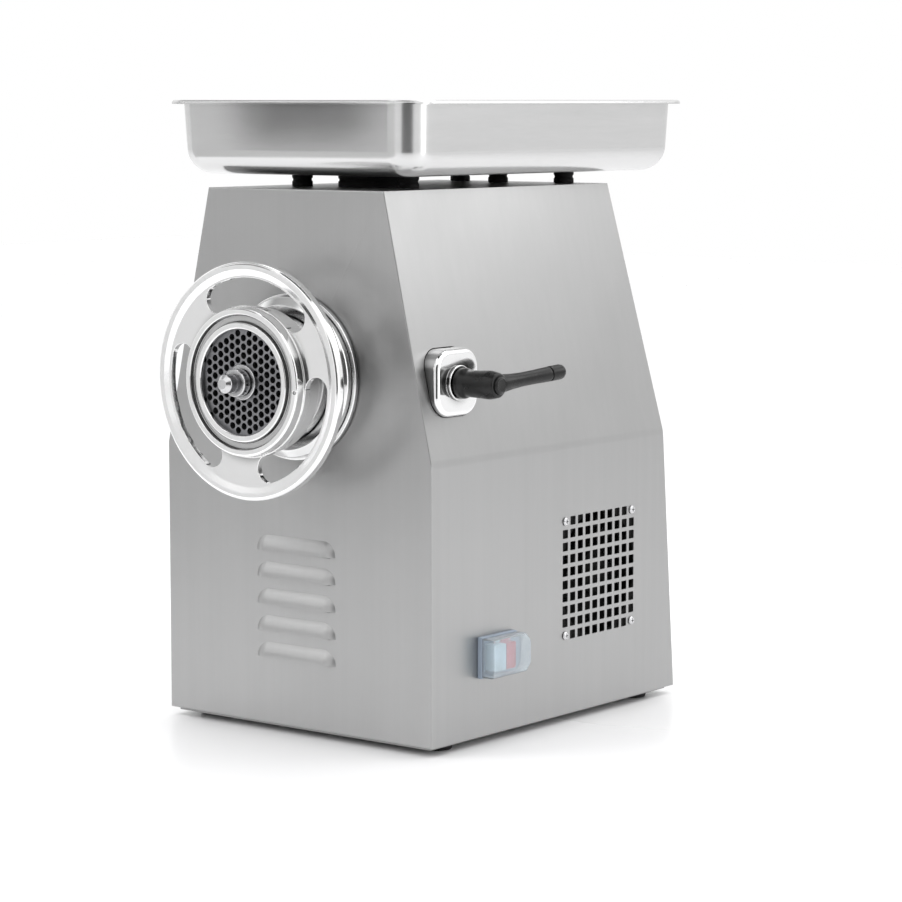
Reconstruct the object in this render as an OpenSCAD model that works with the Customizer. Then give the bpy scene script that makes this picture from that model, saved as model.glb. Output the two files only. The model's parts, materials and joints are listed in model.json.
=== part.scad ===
// Electric meat grinder with a sheet steel casing, a removable grinding head and a lift-off tray.
// Front is -Y, the clamp lever and the switch are on +X, and the feet stand on z = 0.

/* [Casing] */
// Width of the casing at its bottom edge
case_w = 308; // [300:1:380]
// Depth of the casing at its bottom edge
case_d = 373; // [370:1:450]
// Height of the casing's sheet metal
case_h = 480; // [470:1:580]
// Height above the bottom edge at which the sides start to lean in
crease_h = 247; // [235:1:265]
// Width of the casing at its top
top_w = 203; // [190:1:240]
// How far the back leans forward over its height
back_lean = 40; // [10:1:50]
// Thickness of the casing's sheet
sheet_t = 1.5; // [1:0.1:2]
// Thickness of the base plate
base_t = 3; // [2:0.5:4]
// Height of the gap under the casing
foot_h = 8; // [6:0.5:12]
// Radius of a foot
foot_r = 15; // [12:0.5:18]
// Radius of the screw hole through a foot
foot_hole_r = 3.3; // [2.5:0.1:4]
// Distance between the feet across the casing
foot_span_x = 260; // [220:1:270]
// Distance between the feet from front to back
foot_span_y = 300; // [260:1:320]

/* [Louvres and fan grille] */
// Number of louvres in the front
louvre_n = 5; // [3:1:6]
// Length of a louvre
louvre_w = 92; // [60:1:110]
// Distance from one louvre to the next
louvre_pitch = 24.3; // [20:0.1:26]
// Height of one louvre's hood
louvre_hood = 14; // [8:0.5:15]
// Height of the lowest louvre above the bottom edge
louvre_z = 60; // [50:1:64]
// How far a louvre stands out
louvre_out = 5; // [3:0.5:6]
// Holes along each side of the fan grille
grille_n = 10; // [6:1:11]
// Side of one square grille hole
grille_hole = 8; // [4:0.5:9]
// Distance between the fan's mounting screws
fan_screw_pitch = 105; // [100:0.5:106]
// Outer size of the fan frame
fan_size = 120; // [118:1:124]
// Thickness of the fan frame
fan_t = 25; // [20:1:38]
// Height of the fan's centre above the bottom edge
fan_z = 125; // [100:1:150]
// Distance from the back edge to the fan's centre
fan_back = 124.7; // [110:1:130]

/* [Grinding head] */
// Height of the head's axis above the bottom edge
head_h = 315; // [305:1:325]
// Radius of the hole plate
plate_r = 49; // [40:0.5:52]
// Thickness of the hole plate
plate_t = 10; // [8:0.5:12]
// Radius of one hole in the plate
plate_hole_r = 2.9; // [1.5:0.1:3]
// Radius of the pin that carries the plate
pin_r = 8; // [6:0.5:9]
// Length of the barrel
barrel_len = 229; // [215:1:240]
// How much narrower the barrel's bore is than the hole plate, on the radius
plate_ledge = 0.5; // [0.5:0.25:2]
// Thickness of the barrel's wall outside the hole plate
barrel_t = 7; // [6:0.25:10]
// Thickness of the fixed sleeve that holds the barrel
sleeve_t = 8; // [6:0.5:10]
// How far the flange on the front panel reaches past the sleeve
flange_w = 10; // [7:0.5:14]
// Thickness of that flange
flange_t = 18; // [14:0.5:20]
// Distance from the front panel to the front of the ring nut
nut_reach = 72.5; // [70:0.5:78]
// How far the ring nut's lip covers the hole plate
nut_lip = 2.5; // [2:0.5:5]
// Outer radius of the handwheel
wheel_r = 104.4; // [98:0.2:110]
// Distance from the ring nut's front to the middle of the rim
wheel_set_back = 13; // [10:0.5:18]
// Thickness of the wheel's rim
rim_t = 11; // [9:0.5:13]
// Pitch of the ring nut's thread
nut_pitch = 5; // [3:0.5:6]
// Distance from the front panel back to the feed inlet
inlet_set_back = 115.5; // [100:0.5:120]
// Radius of the throat that the meat falls through
throat_r = 26; // [20:0.5:32]
// Turns of the feed screw's flight
flight_turns = 3.6; // [3:0.1:4.5]

/* [Tray] */
// Width of the tray's bowl
tray_w = 279; // [240:1:320]
// Length of the tray's bowl
tray_d = 405; // [380:1:440]
// Depth of the tray
tray_h = 66; // [60:1:80]
// Width of the tray's flange
tray_lip = 8.6; // [6:0.2:12]
// Thickness of the tray's sheet
tray_t = 1.5; // [1:0.1:2]
// Gap between the casing's top and the tray
tray_gap = 12; // [10:1:16]
// Upright corner radius of the tray
tray_corner_r = 28; // [26:1:34]
// Radius between the tray's floor and its walls
tray_edge_r = 22; // [16:1:24]

/* [Clamp] */
// Distance from the front panel back to the clamp's axis
clamp_set_back = 43; // [40:0.5:50]
// Side of the square clamp boss
boss_w = 59; // [54:1:64]
// Corner radius of the clamp boss
boss_corner_r = 18; // [10:1:22]
// Radius of the clamp screw
screw_r = 8; // [6:0.5:9]
// Largest radius of the lever's hub
hub_r = 14; // [13:0.5:16]
// Length of the lever's hub
hub_len = 44; // [40:1:50]
// Length of the lever's arm from the hub's axis
arm_len = 84; // [70:1:95]

/* [Switch] */
// Length of the switch plate from front to back
switch_w = 58; // [52:1:64]
// Height of the switch plate
switch_h = 37; // [34:1:42]
// How far the switch's clear cover stands out
switch_out = 18; // [14:0.5:20]
// Distance from the front panel back to the switch's centre
switch_set_back = 93.5; // [85:0.5:100]
// Height of the switch's centre above the bottom edge
switch_z = 71; // [60:1:80]

/* [Drive] */
// Module of the first gear pair
gear1_m = 1.5; // [1.5:0.5:1.5]
// Teeth on the motor's pinion
gear1_pinion = 18; // [18:2:18]
// Teeth on the intermediate gear
gear1_wheel = 72; // [68:4:72]
// Module of the second gear pair
gear2_m = 2.5; // [2.5:0.5:2.5]
// Teeth on the intermediate pinion
gear2_pinion = 20; // [20:2:20]
// Teeth on the output gear
gear2_wheel = 46; // [44:2:46]
// Outer radius of the motor
motor_r = 75; // [70:1:75]
// Length of the motor's shell
motor_len = 150; // [130:1:160]
// Play between a turning shaft and its bearing, on the radius
run_gap = 0.05; // [0.02:0.01:0.08]
// Gap between parts that slide or turn past each other, on the radius
slide_gap = 0.3; // [0.25:0.05:0.5]

/* [Hidden] */
$fn = 64;
cut = 1;
mesh_lash = 0.14;

// Heights, all above the floor
base_z = foot_h;
crease_z = base_z + crease_h;
top_z = base_z + case_h;
head_z = base_z + head_h;
tray_z = top_z + tray_gap;
side_lean = (case_w - top_w) / 2 / (case_h - crease_h);

// Stations from front to back
front_y = -case_d / 2;
back_y = case_d / 2;
nut_front = front_y - nut_reach;
lip_t = 5;
plate_front = nut_front + lip_t;
plate_back = plate_front + plate_t;
barrel_front = plate_front + 1;
barrel_back = barrel_front + barrel_len;
barrel_wall = 12;
drive_front = barrel_back + 4;
gearbox_y = drive_front + 40;
inlet_y = front_y + inlet_set_back;
clamp_y = front_y + clamp_set_back;
switch_y = front_y + switch_set_back;
fan_y = back_y - fan_back;
tray_y = front_y + 195.5;

// Places across the casing
side_x = case_w / 2;
inner_x = side_x - sheet_t;
clamp_x = side_x - 4;

// Head radii and fits
barrel_bore_r = plate_r - plate_ledge;
barrel_r = plate_r + barrel_t;
sleeve_r = barrel_r + sleeve_t;
flange_r = sleeve_r + flange_w;
nut_open_r = plate_r - nut_lip;
seat_r = plate_r + slide_gap;
thread_r = barrel_r - 1.5;
nut_bore_r = thread_r + slide_gap;
nut_r = nut_bore_r + 6;
sleeve_bore_r = barrel_r + slide_gap;
nut_skirt = 32;
tail_r = 18;
tang = 24;
knife_t = 12;
knife_gap = 0.1;
pin_end = plate_front - 18;
hub_socket_r = 28;
neck_r = throat_r + 6;
neck_bore_r = throat_r + tray_t + 0.5;
neck_top_z = top_z + 2;
key_r = 3;
pad_x = sleeve_r + 6;

// Gear train, with the axes one above the other
inter_drop = gear2_m * (gear2_pinion + gear2_wheel) / 2;
motor_drop = gear1_m * (gear1_pinion + gear1_wheel) / 2;
inter_z = head_z - inter_drop;
motor_z = inter_z - motor_drop;
gearbox_len = 100;
gearbox_back = gearbox_y + gearbox_len;
wall_t = 8;
gear2_y = gearbox_y + 26;
gear2_w = 28;
gear1_y = gearbox_y + 60;
gear1_w = 18;
rear_seat_y = gearbox_back - 18;
journal_r = 20;
rear_journal_r = 15;
small_shaft_r = 10;
motor_back = gearbox_y;
motor_front = motor_back - motor_len - 12;

steel = [0.72, 0.73, 0.73];
polished = [0.86, 0.87, 0.88];
dark_steel = [0.42, 0.43, 0.45];
cast = [0.6, 0.61, 0.62];
rubber = [0.06, 0.06, 0.06];
black = [0.08, 0.08, 0.09];
copper = [0.7, 0.42, 0.22];

// ---- Shared shapes ----

module rod_y(r, y0, y1, z) {
    translate([0, y0, z]) rotate([-90, 0, 0]) cylinder(r = r, h = y1 - y0);
}

module tube_y(ro, ri, y0, y1, z) {
    difference() {
        rod_y(ro, y0, y1, z);
        rod_y(ri, y0 - cut, y1 + cut, z);
    }
}

module rod_x(r, x0, x1, y, z) {
    translate([x0, y, z]) rotate([0, 90, 0]) cylinder(r = r, h = x1 - x0);
}

module rod_z(r, z0, z1, x, y) {
    translate([x, y, z0]) cylinder(r = r, h = z1 - z0);
}

// A solid turned about the line along Y at height z, from a profile of [radius, y] points
module turned_y(profile, z) {
    translate([0, 0, z]) rotate([-90, 0, 0]) rotate_extrude() polygon(profile);
}

// A flat shape drawn in X and Z, standing between y0 and y1
module upright(y0, y1) {
    translate([0, y1, 0]) rotate([90, 0, 0]) linear_extrude(y1 - y0) children();
}

// A flat shape drawn in Y and Z, standing between x0 and x1
module sideways(x0, x1) {
    translate([x0, 0, 0]) rotate([90, 0, 90]) linear_extrude(x1 - x0) children();
}

module rounded(w, d, r) {
    square([w - 2 * r, d], center = true);
    square([w, d - 2 * r], center = true);
    for (x = [-1, 1], y = [-1, 1])
        translate([x * (w / 2 - r), y * (d / 2 - r)]) circle(r);
}

module at_corners(x, y) {
    for (i = [-1, 1], j = [-1, 1])
        translate([i * x, j * y]) children();
}

// Involute spur gear flat in X and Y with a tooth on +Y, turned by the given angle
function involute(r, base) = let (t = sqrt(max(0, pow(r / base, 2) - 1))) t * 180 / PI - atan(t);

function tooth_half(m, n, r) =
    let (pitch_r = m * n / 2, base = pitch_r * cos(20))
    90 / n - mesh_lash / 2 / pitch_r * 180 / PI + involute(pitch_r, base) - involute(r, base);

function polar(r, a) = [r * cos(a), r * sin(a)];

module spur_gear(m, n, width, turn = 0) {
    pitch_r = m * n / 2;
    base = pitch_r * cos(20);
    root = pitch_r - 1.25 * m;
    start = max(base, root);
    steps = [for (i = [0:4]) start + (pitch_r + m - start) * i / 4];
    foot = base > root ? [root] : [];
    points = [for (k = [0:n - 1])
        let (mid = 90 + turn + 360 * k / n)
        each concat([for (r = foot) polar(r, mid - tooth_half(m, n, start))],
                    [for (r = steps) polar(r, mid - tooth_half(m, n, r))],
                    [for (i = [4:-1:0]) polar(steps[i], mid + tooth_half(m, n, steps[i]))],
                    [for (r = foot) polar(r, mid + tooth_half(m, n, start))])];
    linear_extrude(width) polygon(points);
}

module gear_at(y, z) {
    translate([0, y, z]) rotate([-90, 0, 0]) children();
}

// ---- Casing ----

// Outline of the casing seen from the front, set in by the given amount
function case_outline(in) = [
    [-side_x + in, base_z], [side_x - in, base_z], [side_x - in, crease_z],
    [top_w / 2 - in, top_z], [-top_w / 2 + in, top_z], [-side_x + in, crease_z]];

// Outline of a side wall, from the given front to the leaning back
function side_outline(front) = [
    [front, base_z], [back_y, base_z], [back_y - back_lean, top_z], [front, top_z]];

louvre_r = (pow(louvre_hood, 2) + pow(louvre_out, 2)) / (2 * louvre_out);

module louvre_bar(r, x_half) {
    rotate([0, 90, 0]) translate([0, 0, -x_half]) cylinder(r = r, h = 2 * x_half);
    for (s = [-1, 1]) translate([s * x_half, 0, 0]) sphere(r);
}

module at_louvres() {
    for (i = [0:louvre_n - 1])
        translate([0, front_y - louvre_out + louvre_r, base_z + louvre_z + i * louvre_pitch]) children();
}

module front_panel() {
    hood_half = louvre_w / 2 - sqrt(pow(louvre_r, 2) - pow(louvre_r - louvre_out, 2));
    color(steel) difference() {
        union() {
            upright(front_y, front_y + sheet_t) polygon(case_outline(0));
            at_louvres() intersection() {
                louvre_bar(louvre_r, hood_half);
                translate([-louvre_w, -louvre_r, 0])
                    cube([2 * louvre_w, louvre_out + sheet_t, louvre_r]);
            }
        }
        at_louvres() intersection() {
            louvre_bar(louvre_r - 1.2, hood_half);
            translate([-louvre_w, -louvre_r, -2])
                cube([2 * louvre_w, 2 * louvre_r, louvre_r + 2]);
        }
        rod_y(sleeve_r - 4, front_y - cut, front_y + sheet_t + cut, head_z);
    }
}

// The right-hand wall: upright below the crease, leaning above it, with a flange under the base
module side_wall() {
    y0 = front_y + sheet_t;
    intersection() {
        upright(y0, back_y)
            polygon([[side_x, base_z], [side_x, crease_z], [top_w / 2, top_z],
                     [top_w / 2 - sheet_t, top_z], [inner_x, crease_z], [inner_x, base_z]]);
        sideways(0, side_x + cut) polygon(side_outline(y0));
    }
    translate([inner_x - 16, y0, base_z]) cube([16 + sheet_t / 2, back_y - 2 * sheet_t - y0, sheet_t]);
}

grille_pitch = fan_screw_pitch / (grille_n - 1);

function at_corner(i) = i == 0 || i == grille_n - 1;

module side_panel_right() {
    color(steel) difference() {
        side_wall();
        sideways(inner_x - cut, side_x + cut) translate([fan_y, base_z + fan_z]) {
            for (i = [0:grille_n - 1], j = [0:grille_n - 1])
                if (!(at_corner(i) && at_corner(j)))
                    translate([(i - (grille_n - 1) / 2) * grille_pitch, (j - (grille_n - 1) / 2) * grille_pitch])
                        square(grille_hole, center = true);
            at_corners(fan_screw_pitch / 2, fan_screw_pitch / 2) circle(2.3);
        }
        sideways(inner_x - cut, side_x + cut) translate([switch_y, base_z + switch_z])
            square([switch_w - 8, switch_h - 9], center = true);
        sideways(pad_x, side_x + cut) translate([clamp_y, head_z])
            rounded(boss_w + 1, boss_w + 1, boss_corner_r + 0.5);
    }
}

module side_panel_left() {
    color(steel) mirror([1, 0, 0]) side_wall();
}

gland_z = base_z + 62;
gland_y = back_y - back_lean * (gland_z - base_z) / case_h;
gland_x = -95;
cord_r = 4.2;
gland_r = 8.8;
back_tilt = atan(back_lean / case_h);

module on_back(x, z) {
    translate([x, back_y - back_lean * (z - base_z) / case_h, z]) rotate([-90 + back_tilt, 0, 0]) children();
}

rear_screw_places = [for (x = [-1, 1], k = [0:2]) [x, k]];

// Where a rear screw goes: near the side at the foot, the crease and the top
module at_rear_screws() {
    rows = [base_z + 20, crease_z - 8, top_z - 16];
    halves = [side_x - 16, side_x - 16, top_w / 2 - 12];
    for (p = rear_screw_places) on_back(p[0] * halves[p[1]], rows[p[1]]) children();
}

module rear_panel() {
    color(steel) difference() {
        intersection() {
            sideways(-side_x, side_x)
                polygon([[back_y - sheet_t, base_z], [back_y, base_z],
                         [back_y - back_lean, top_z], [back_y - back_lean - sheet_t, top_z]]);
            upright(front_y, back_y + cut) polygon(case_outline(sheet_t + 0.1));
        }
        on_back(gland_x, gland_z) cylinder(r = gland_r + 0.2, h = 10, center = true);
        at_rear_screws() cylinder(r = 2.2, h = 10, center = true);
    }
}

module rear_screws() {
    color(polished) at_rear_screws() {
        cylinder(r = 4, h = 2.2);
        translate([0, 0, -8]) cylinder(r = 2, h = 9);
    }
}

module top_panel() {
    half = top_w / 2 - sheet_t - 0.1;
    y0 = front_y + sheet_t;
    y1 = back_y - back_lean - sheet_t - 0.1;
    color(steel) difference() {
        translate([-half, y0, top_z - sheet_t]) cube([2 * half, y1 - y0, sheet_t]);
        rod_z(neck_r + 1, top_z - 2 * sheet_t, top_z + cut, 0, inlet_y);
    }
}

module base_plate() {
    in = 6;
    color(steel) difference() {
        translate([-side_x + in, front_y + in, base_z - base_t])
            cube([case_w - 2 * in, case_d - 2 * in, base_t]);
        at_corners(foot_span_x / 2, foot_span_y / 2)
            translate([0, 0, base_z - base_t - cut]) cylinder(r = foot_hole_r, h = base_t + 2 * cut);
        for (k = [-3:3])
            translate([-40, k * 14 - 100, base_z - base_t - cut]) cube([80, 5, base_t + 2 * cut]);
    }
}

module feet() {
    color(rubber) at_corners(foot_span_x / 2, foot_span_y / 2) difference() {
        cylinder(r1 = foot_r - 1.5, r2 = foot_r, h = foot_h - base_t);
        translate([0, 0, -cut]) cylinder(r = foot_hole_r, h = foot_h + cut);
    }
}

support_r = 9.5;
support_x = 62;
support_front_y = front_y + 83.5;
support_back_y = back_y - 55.5;
support_mid_y = back_y - 76.5;

module tray_supports() {
    color(rubber) {
        for (s = [-1, 1], y = [support_front_y, support_back_y]) rod_z(support_r, top_z, tray_z, s * support_x, y);
        rod_z(support_r, top_z, tray_z, 0, support_mid_y);
    }
}

module neck_gasket() {
    color(rubber) difference() {
        rod_z(neck_r + 3.5, top_z, tray_z, 0, inlet_y);
        rod_z(neck_r + 0.2, top_z - cut, tray_z + cut, 0, inlet_y);
    }
}

module cable_gland() {
    color(black) on_back(gland_x, gland_z) difference() {
        union() {
            translate([0, 0, -12]) cylinder(r = gland_r, h = 14);
            cylinder(r = 13, h = 6);
            translate([0, 0, 6]) cylinder(r1 = 12, r2 = 8, h = 12);
        }
        translate([0, 0, -13]) cylinder(r = cord_r, h = 40);
    }
}

module gland_nut() {
    nut_t = 6;
    color(black) on_back(gland_x, gland_z) translate([0, 0, -sheet_t - 0.1 - nut_t]) difference() {
        cylinder(r = 13.5, h = nut_t, $fn = 6);
        translate([0, 0, -cut]) cylinder(r = gland_r, h = nut_t + 2 * cut);
    }
}

box_w = 120;
box_h = 110;
box_d = 34;

module electrical_box() {
    y = gearbox_back + 4;
    color([0.3, 0.31, 0.33]) translate([-box_w / 2, y, base_z + 22]) difference() {
        cube([box_w, box_d, box_h]);
        translate([3, 3, 3]) cube([box_w - 6, box_d - 6, box_h - 6]);
    }
}

module capacitor() {
    x = -side_x + 50;
    color([0.8, 0.8, 0.78]) {
        rod_z(22, base_z, base_z + 90, x, front_y + 60);
        for (s = [-5, 5]) rod_z(2, base_z + 90, base_z + 98, x + s, front_y + 60);
    }
}

// ---- Tray ----

// Solid bowl shape with round upright corners and a round edge at its floor
module bowl(w, d, h, rc, re) {
    module edge_profile(r_in) {
        translate([r_in, re]) intersection() {
            circle(re);
            translate([0, -re]) square(re);
        }
        square([r_in + 0.001, re]);
    }
    wx = w / 2 - rc;
    dy = d / 2 - rc;
    translate([0, 0, re]) linear_extrude(h - re) rounded(w, d, rc);
    at_corners(wx, dy) rotate_extrude() edge_profile(rc - re);
    for (s = [0, 180]) rotate([0, 0, s]) {
        translate([wx, dy, 0]) rotate([90, 0, 0]) linear_extrude(2 * dy) edge_profile(rc - re);
        translate([-wx, dy, 0]) rotate([90, 0, 90]) linear_extrude(2 * wx) edge_profile(rc - re);
    }
    translate([-wx, -dy, 0]) cube([2 * wx, 2 * dy, re]);
}

spout_len = 30;

module tray() {
    color(polished) difference() {
        union() {
            translate([0, tray_y, tray_z]) {
                bowl(tray_w, tray_d, tray_h, tray_corner_r, tray_edge_r);
                translate([0, 0, tray_h - 2]) linear_extrude(2)
                    rounded(tray_w + 2 * tray_lip, tray_d + 2 * tray_lip, tray_corner_r + tray_lip);
            }
            rod_z(throat_r + tray_t, tray_z - spout_len, tray_z + 2, 0, inlet_y);
        }
        translate([0, tray_y, tray_z + tray_t])
            bowl(tray_w - 2 * tray_t, tray_d - 2 * tray_t, tray_h, tray_corner_r - tray_t, tray_edge_r - tray_t);
        rod_z(throat_r, tray_z - spout_len - cut, tray_z + 3, 0, inlet_y);
    }
}

// ---- Grinding head ----

module head_sleeve() {
    color(cast) difference() {
        union() {
            rod_y(sleeve_r, front_y + sheet_t, gearbox_y, head_z);
            rod_y(sleeve_r + 6, gearbox_y - 10, gearbox_y, head_z);
            rod_z(neck_r, head_z, neck_top_z, 0, inlet_y);
            translate([0, clamp_y - 24, head_z - 24]) cube([pad_x, 48, 48]);
        }
        rod_y(sleeve_bore_r, front_y, barrel_back + 1, head_z);
        rod_y(hub_socket_r + 2, front_y, gearbox_y + cut, head_z);
        rod_z(neck_bore_r, head_z, neck_top_z + cut, 0, inlet_y);
        rod_x(screw_r + slide_gap, 0, pad_x + cut, clamp_y, head_z);
        rod_z(5, head_z - sleeve_r - 10, head_z, 0, drive_front + 14);
    }
}

module head_flange() {
    groove = 1.5;
    color(polished) turned_y([
        [sleeve_bore_r, front_y - flange_t], [flange_r - 5, front_y - flange_t],
        [flange_r - 2, front_y - flange_t + 3], [flange_r - 2, front_y - 12],
        [flange_r - 2 - groove, front_y - 11], [flange_r - 2 - groove, front_y - 9.5],
        [flange_r, front_y - 8.5], [flange_r, front_y],
        [sleeve_r - 4.2, front_y], [sleeve_r - 4.2, front_y + sheet_t],
        [sleeve_bore_r, front_y + sheet_t]], head_z);
}

module barrel() {
    thread_len = 5 * nut_pitch + 2;
    color(polished) difference() {
        union() {
            rod_y(thread_r, barrel_front, barrel_front + thread_len, head_z);
            rod_y(barrel_r, barrel_front + thread_len, barrel_back, head_z);
        }
        rod_y(seat_r, barrel_front - cut, plate_back, head_z);
        rod_y(barrel_bore_r, barrel_front - cut, barrel_back - barrel_wall, head_z);
        rod_y(tail_r + 6, barrel_front, barrel_back + cut, head_z);
        rod_z(throat_r + 1, head_z, head_z + barrel_r + cut, 0, inlet_y);
        for (k = [0:4])
            tube_y(thread_r + cut, thread_r - 1, barrel_front + 3 + nut_pitch * k,
                   barrel_front + 3 + nut_pitch * (k + 0.4), head_z);
        rod_y(key_r, barrel_front - cut, plate_back, head_z - seat_r - 0.5);
    }
}

module barrel_bush() {
    color([0.72, 0.55, 0.3])
        tube_y(tail_r + 6, tail_r + run_gap, barrel_back - barrel_wall, barrel_back, head_z);
}

module plate_key() {
    color(dark_steel) rod_y(key_r, barrel_front + 0.5, plate_back, head_z - seat_r - 0.5);
}

flight_r = barrel_bore_r - 1;
core_r = 17;
flight_front = plate_back + knife_t + 1;
flight_back = barrel_back - barrel_wall - 2;
flight_len = flight_back - flight_front;

// Section of the single flight across the screw's axis: wide at the core, narrow at the tip
module flight_section() {
    tip_half = 18;
    root_half = 52;
    polygon(concat([for (a = [-tip_half:9:tip_half]) polar(flight_r, a)],
                   [polar(core_r + 9, (tip_half + root_half) / 2)],
                   [for (a = [root_half:19.69:360 - root_half + 1]) polar(core_r, a)],
                   [polar(core_r + 9, -(tip_half + root_half) / 2)]));
}

module feed_screw() {
    color(dark_steel) {
        gear_at(flight_front, head_z)
            linear_extrude(flight_len, twist = -360 * flight_turns, slices = 96, segments = 24)
                flight_section();
        difference() {
            union() {
                rod_y(tail_r, flight_back - 1, barrel_back, head_z);
                rod_y(core_r + 2, flight_front - 0.8, flight_front + 5, head_z);
                translate([-tang / 2, barrel_back - 1, head_z - tang / 2]) cube([tang, 30, tang]);
                translate([-10, plate_back + knife_gap, head_z - 10]) cube([20, knife_t + 1, 20]);
                rod_y(pin_r, pin_end, plate_back + 2, head_z);
            }
            rod_y(3, barrel_back + 14, barrel_back + 30, head_z);
        }
    }
}

module knife() {
    blade_r = barrel_bore_r - 2.5;
    color(polished) upright(plate_back + knife_gap, plate_back + knife_gap + knife_t)
        translate([0, head_z]) difference() {
            union() {
                circle(19);
                for (k = [0:3]) rotate(90 * k)
                    intersection() {
                        polygon([[6, -5], [blade_r + 2, -2], [blade_r + 2, 9], [14, 13]]);
                        circle(blade_r);
                    }
            }
            square(20.4, center = true);
        }
}

module hole_plate() {
    rise = 7.7;
    aside = rise * sin(60);
    reach = plate_r - 6;
    columns = floor(reach / aside);
    rows = floor(reach / rise) + 1;
    color(dark_steel) difference() {
        rod_y(plate_r, plate_front, plate_back, head_z);
        rod_y(pin_r + run_gap, plate_front - cut, plate_back + cut, head_z);
        for (i = [-columns:columns], j = [-rows:rows]) {
            x = i * aside;
            z = (j + (i % 2 == 0 ? 0 : 0.5)) * rise;
            if (norm([x, z]) < reach && norm([x, z]) > pin_r + 6)
                translate([x, 0, 0]) rod_y(plate_hole_r, plate_front - cut, plate_back + cut, head_z + z);
        }
        rod_y(key_r + slide_gap, plate_front - cut, plate_back + cut, head_z - seat_r - 0.5);
    }
}

slot_in_r = nut_r + 5.2;
rim_w = 13;
slot_out_r = wheel_r - rim_w + 1.5;
slot_half = 37;
slot_angles = [82, 202, 322];
rim_y = nut_front + wheel_set_back;

// One curved slot with round ends, centred on +X; the ends are a little narrower than the slot
module wheel_slot() {
    mid = (slot_in_r + slot_out_r) / 2;
    half = (slot_out_r - slot_in_r) / 2 - 0.3;
    far = 2 * slot_out_r;
    intersection() {
        difference() {
            circle(slot_out_r);
            circle(slot_in_r);
        }
        polygon([[0, 0], polar(far, -slot_half), [far, 0], polar(far, slot_half)]);
    }
    for (s = [-1, 1]) rotate(s * slot_half) translate([mid, 0]) circle(half);
}

module handwheel_nut() {
    web_t = 8;
    round_r = rim_t / 2;
    color(polished) {
        turned_y([
                [nut_open_r, nut_front + 2], [nut_open_r + 4, nut_front + 2],
                [nut_open_r + 5.5, nut_front], [nut_r - 3, nut_front], [nut_r - 1, nut_front + 1.5],
                [nut_r, nut_front + 4], [nut_r + 2, rim_y + 4], [nut_r + 2, nut_front + nut_skirt - 2],
                [nut_r, nut_front + nut_skirt], [nut_bore_r, nut_front + nut_skirt],
                [nut_bore_r, plate_front], [nut_open_r, plate_front]], head_z);
        upright(rim_y - web_t / 2, rim_y + web_t / 2) translate([0, head_z]) difference() {
            circle(wheel_r - rim_w / 2);
            circle(nut_r - 1);
            for (a = slot_angles) rotate(a) wheel_slot();
        }
        for (r = [wheel_r - rim_w + round_r, wheel_r - round_r])
            translate([0, rim_y, head_z]) rotate([-90, 0, 0])
                rotate_extrude() translate([r, 0]) circle(round_r);
    }
}

module centre_nut() {
    face = plate_front - knife_gap;
    color(polished) difference() {
        union() {
            rod_y(15.5, face - 4, face, head_z);
            translate([0, face - 4, head_z]) rotate([90, 0, 0]) cylinder(r = 12.5, h = 14, $fn = 6);
            rod_y(11, face - 21, face - 4, head_z);
            rod_y(7.5, face - 28, face - 21, head_z);
        }
        rod_y(pin_r, pin_end, face + cut, head_z);
    }
}

// ---- Clamp ----

module clamp_boss() {
    color(polished) difference() {
        sideways(pad_x, clamp_x) translate([clamp_y, head_z]) rounded(boss_w, boss_w, boss_corner_r);
        rod_x(screw_r + slide_gap, pad_x - cut, clamp_x + cut, clamp_y, head_z);
    }
}

washer_t = 2.5;
hub_x = clamp_x + washer_t + slide_gap;
hub_end = hub_x + hub_len;

module clamp_washer() {
    color(polished) difference() {
        rod_x(hub_r + 1.5, clamp_x, clamp_x + washer_t, clamp_y, head_z);
        rod_x(screw_r + slide_gap, clamp_x - cut, clamp_x + washer_t + cut, clamp_y, head_z);
    }
}

insert_r = 10;
insert_len = 22;
neck_stud_r = 3;
spring_seat_x = hub_x + 27;
stud_head_x = spring_seat_x + 8;
pocket_r = 8;

module clamp_screw() {
    color(dark_steel) {
        rod_x(screw_r, sleeve_bore_r, hub_x + 1, clamp_y, head_z);
        rod_x(insert_r, hub_x, hub_x + insert_len, clamp_y, head_z);
        rod_x(neck_stud_r, hub_x + insert_len - 1, stud_head_x + 1, clamp_y, head_z);
        rod_x(6.5, stud_head_x, stud_head_x + 2.6, clamp_y, head_z);
    }
}

arm_rise = 5;
arm_out = 10;

// Puts a child that points along +Z on the lever's arm, starting at the hub's axis
module on_arm() {
    translate([hub_end - 10, clamp_y, head_z]) rotate([-90 + arm_rise, 0, 0]) rotate([0, arm_out, 0]) children();
}

cap_len = 17;
arm_tip_r = 6.75;

module clamp_lever() {
    color(black) difference() {
        union() {
            translate([hub_x, clamp_y, head_z]) rotate([0, 90, 0]) cylinder(r1 = hub_r, r2 = 10.5, h = hub_len - 2);
            on_arm() cylinder(r1 = 8.2, r2 = arm_tip_r, h = arm_len - cap_len);
        }
        rod_x(insert_r + slide_gap, hub_x - cut, hub_x + insert_len + 0.4, clamp_y, head_z);
        rod_x(neck_stud_r + slide_gap, hub_x, spring_seat_x + cut, clamp_y, head_z);
        rod_x(pocket_r, spring_seat_x, hub_end + cut, clamp_y, head_z);
    }
}

module lever_end_cap() {
    color(black) on_arm() translate([0, 0, arm_len - cap_len]) {
        cylinder(r = arm_tip_r, h = cap_len - 4);
        translate([0, 0, cap_len - 4]) cylinder(r1 = arm_tip_r, r2 = arm_tip_r - 2.5, h = 4);
    }
}

module lever_button() {
    color(black) {
        rod_x(pocket_r - 0.1, stud_head_x + 3, hub_end - 1, clamp_y, head_z);
        translate([hub_end - 1, clamp_y, head_z]) rotate([0, 90, 0])
            cylinder(r1 = pocket_r - 0.1, r2 = 6, h = 1.5);
    }
}

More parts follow.
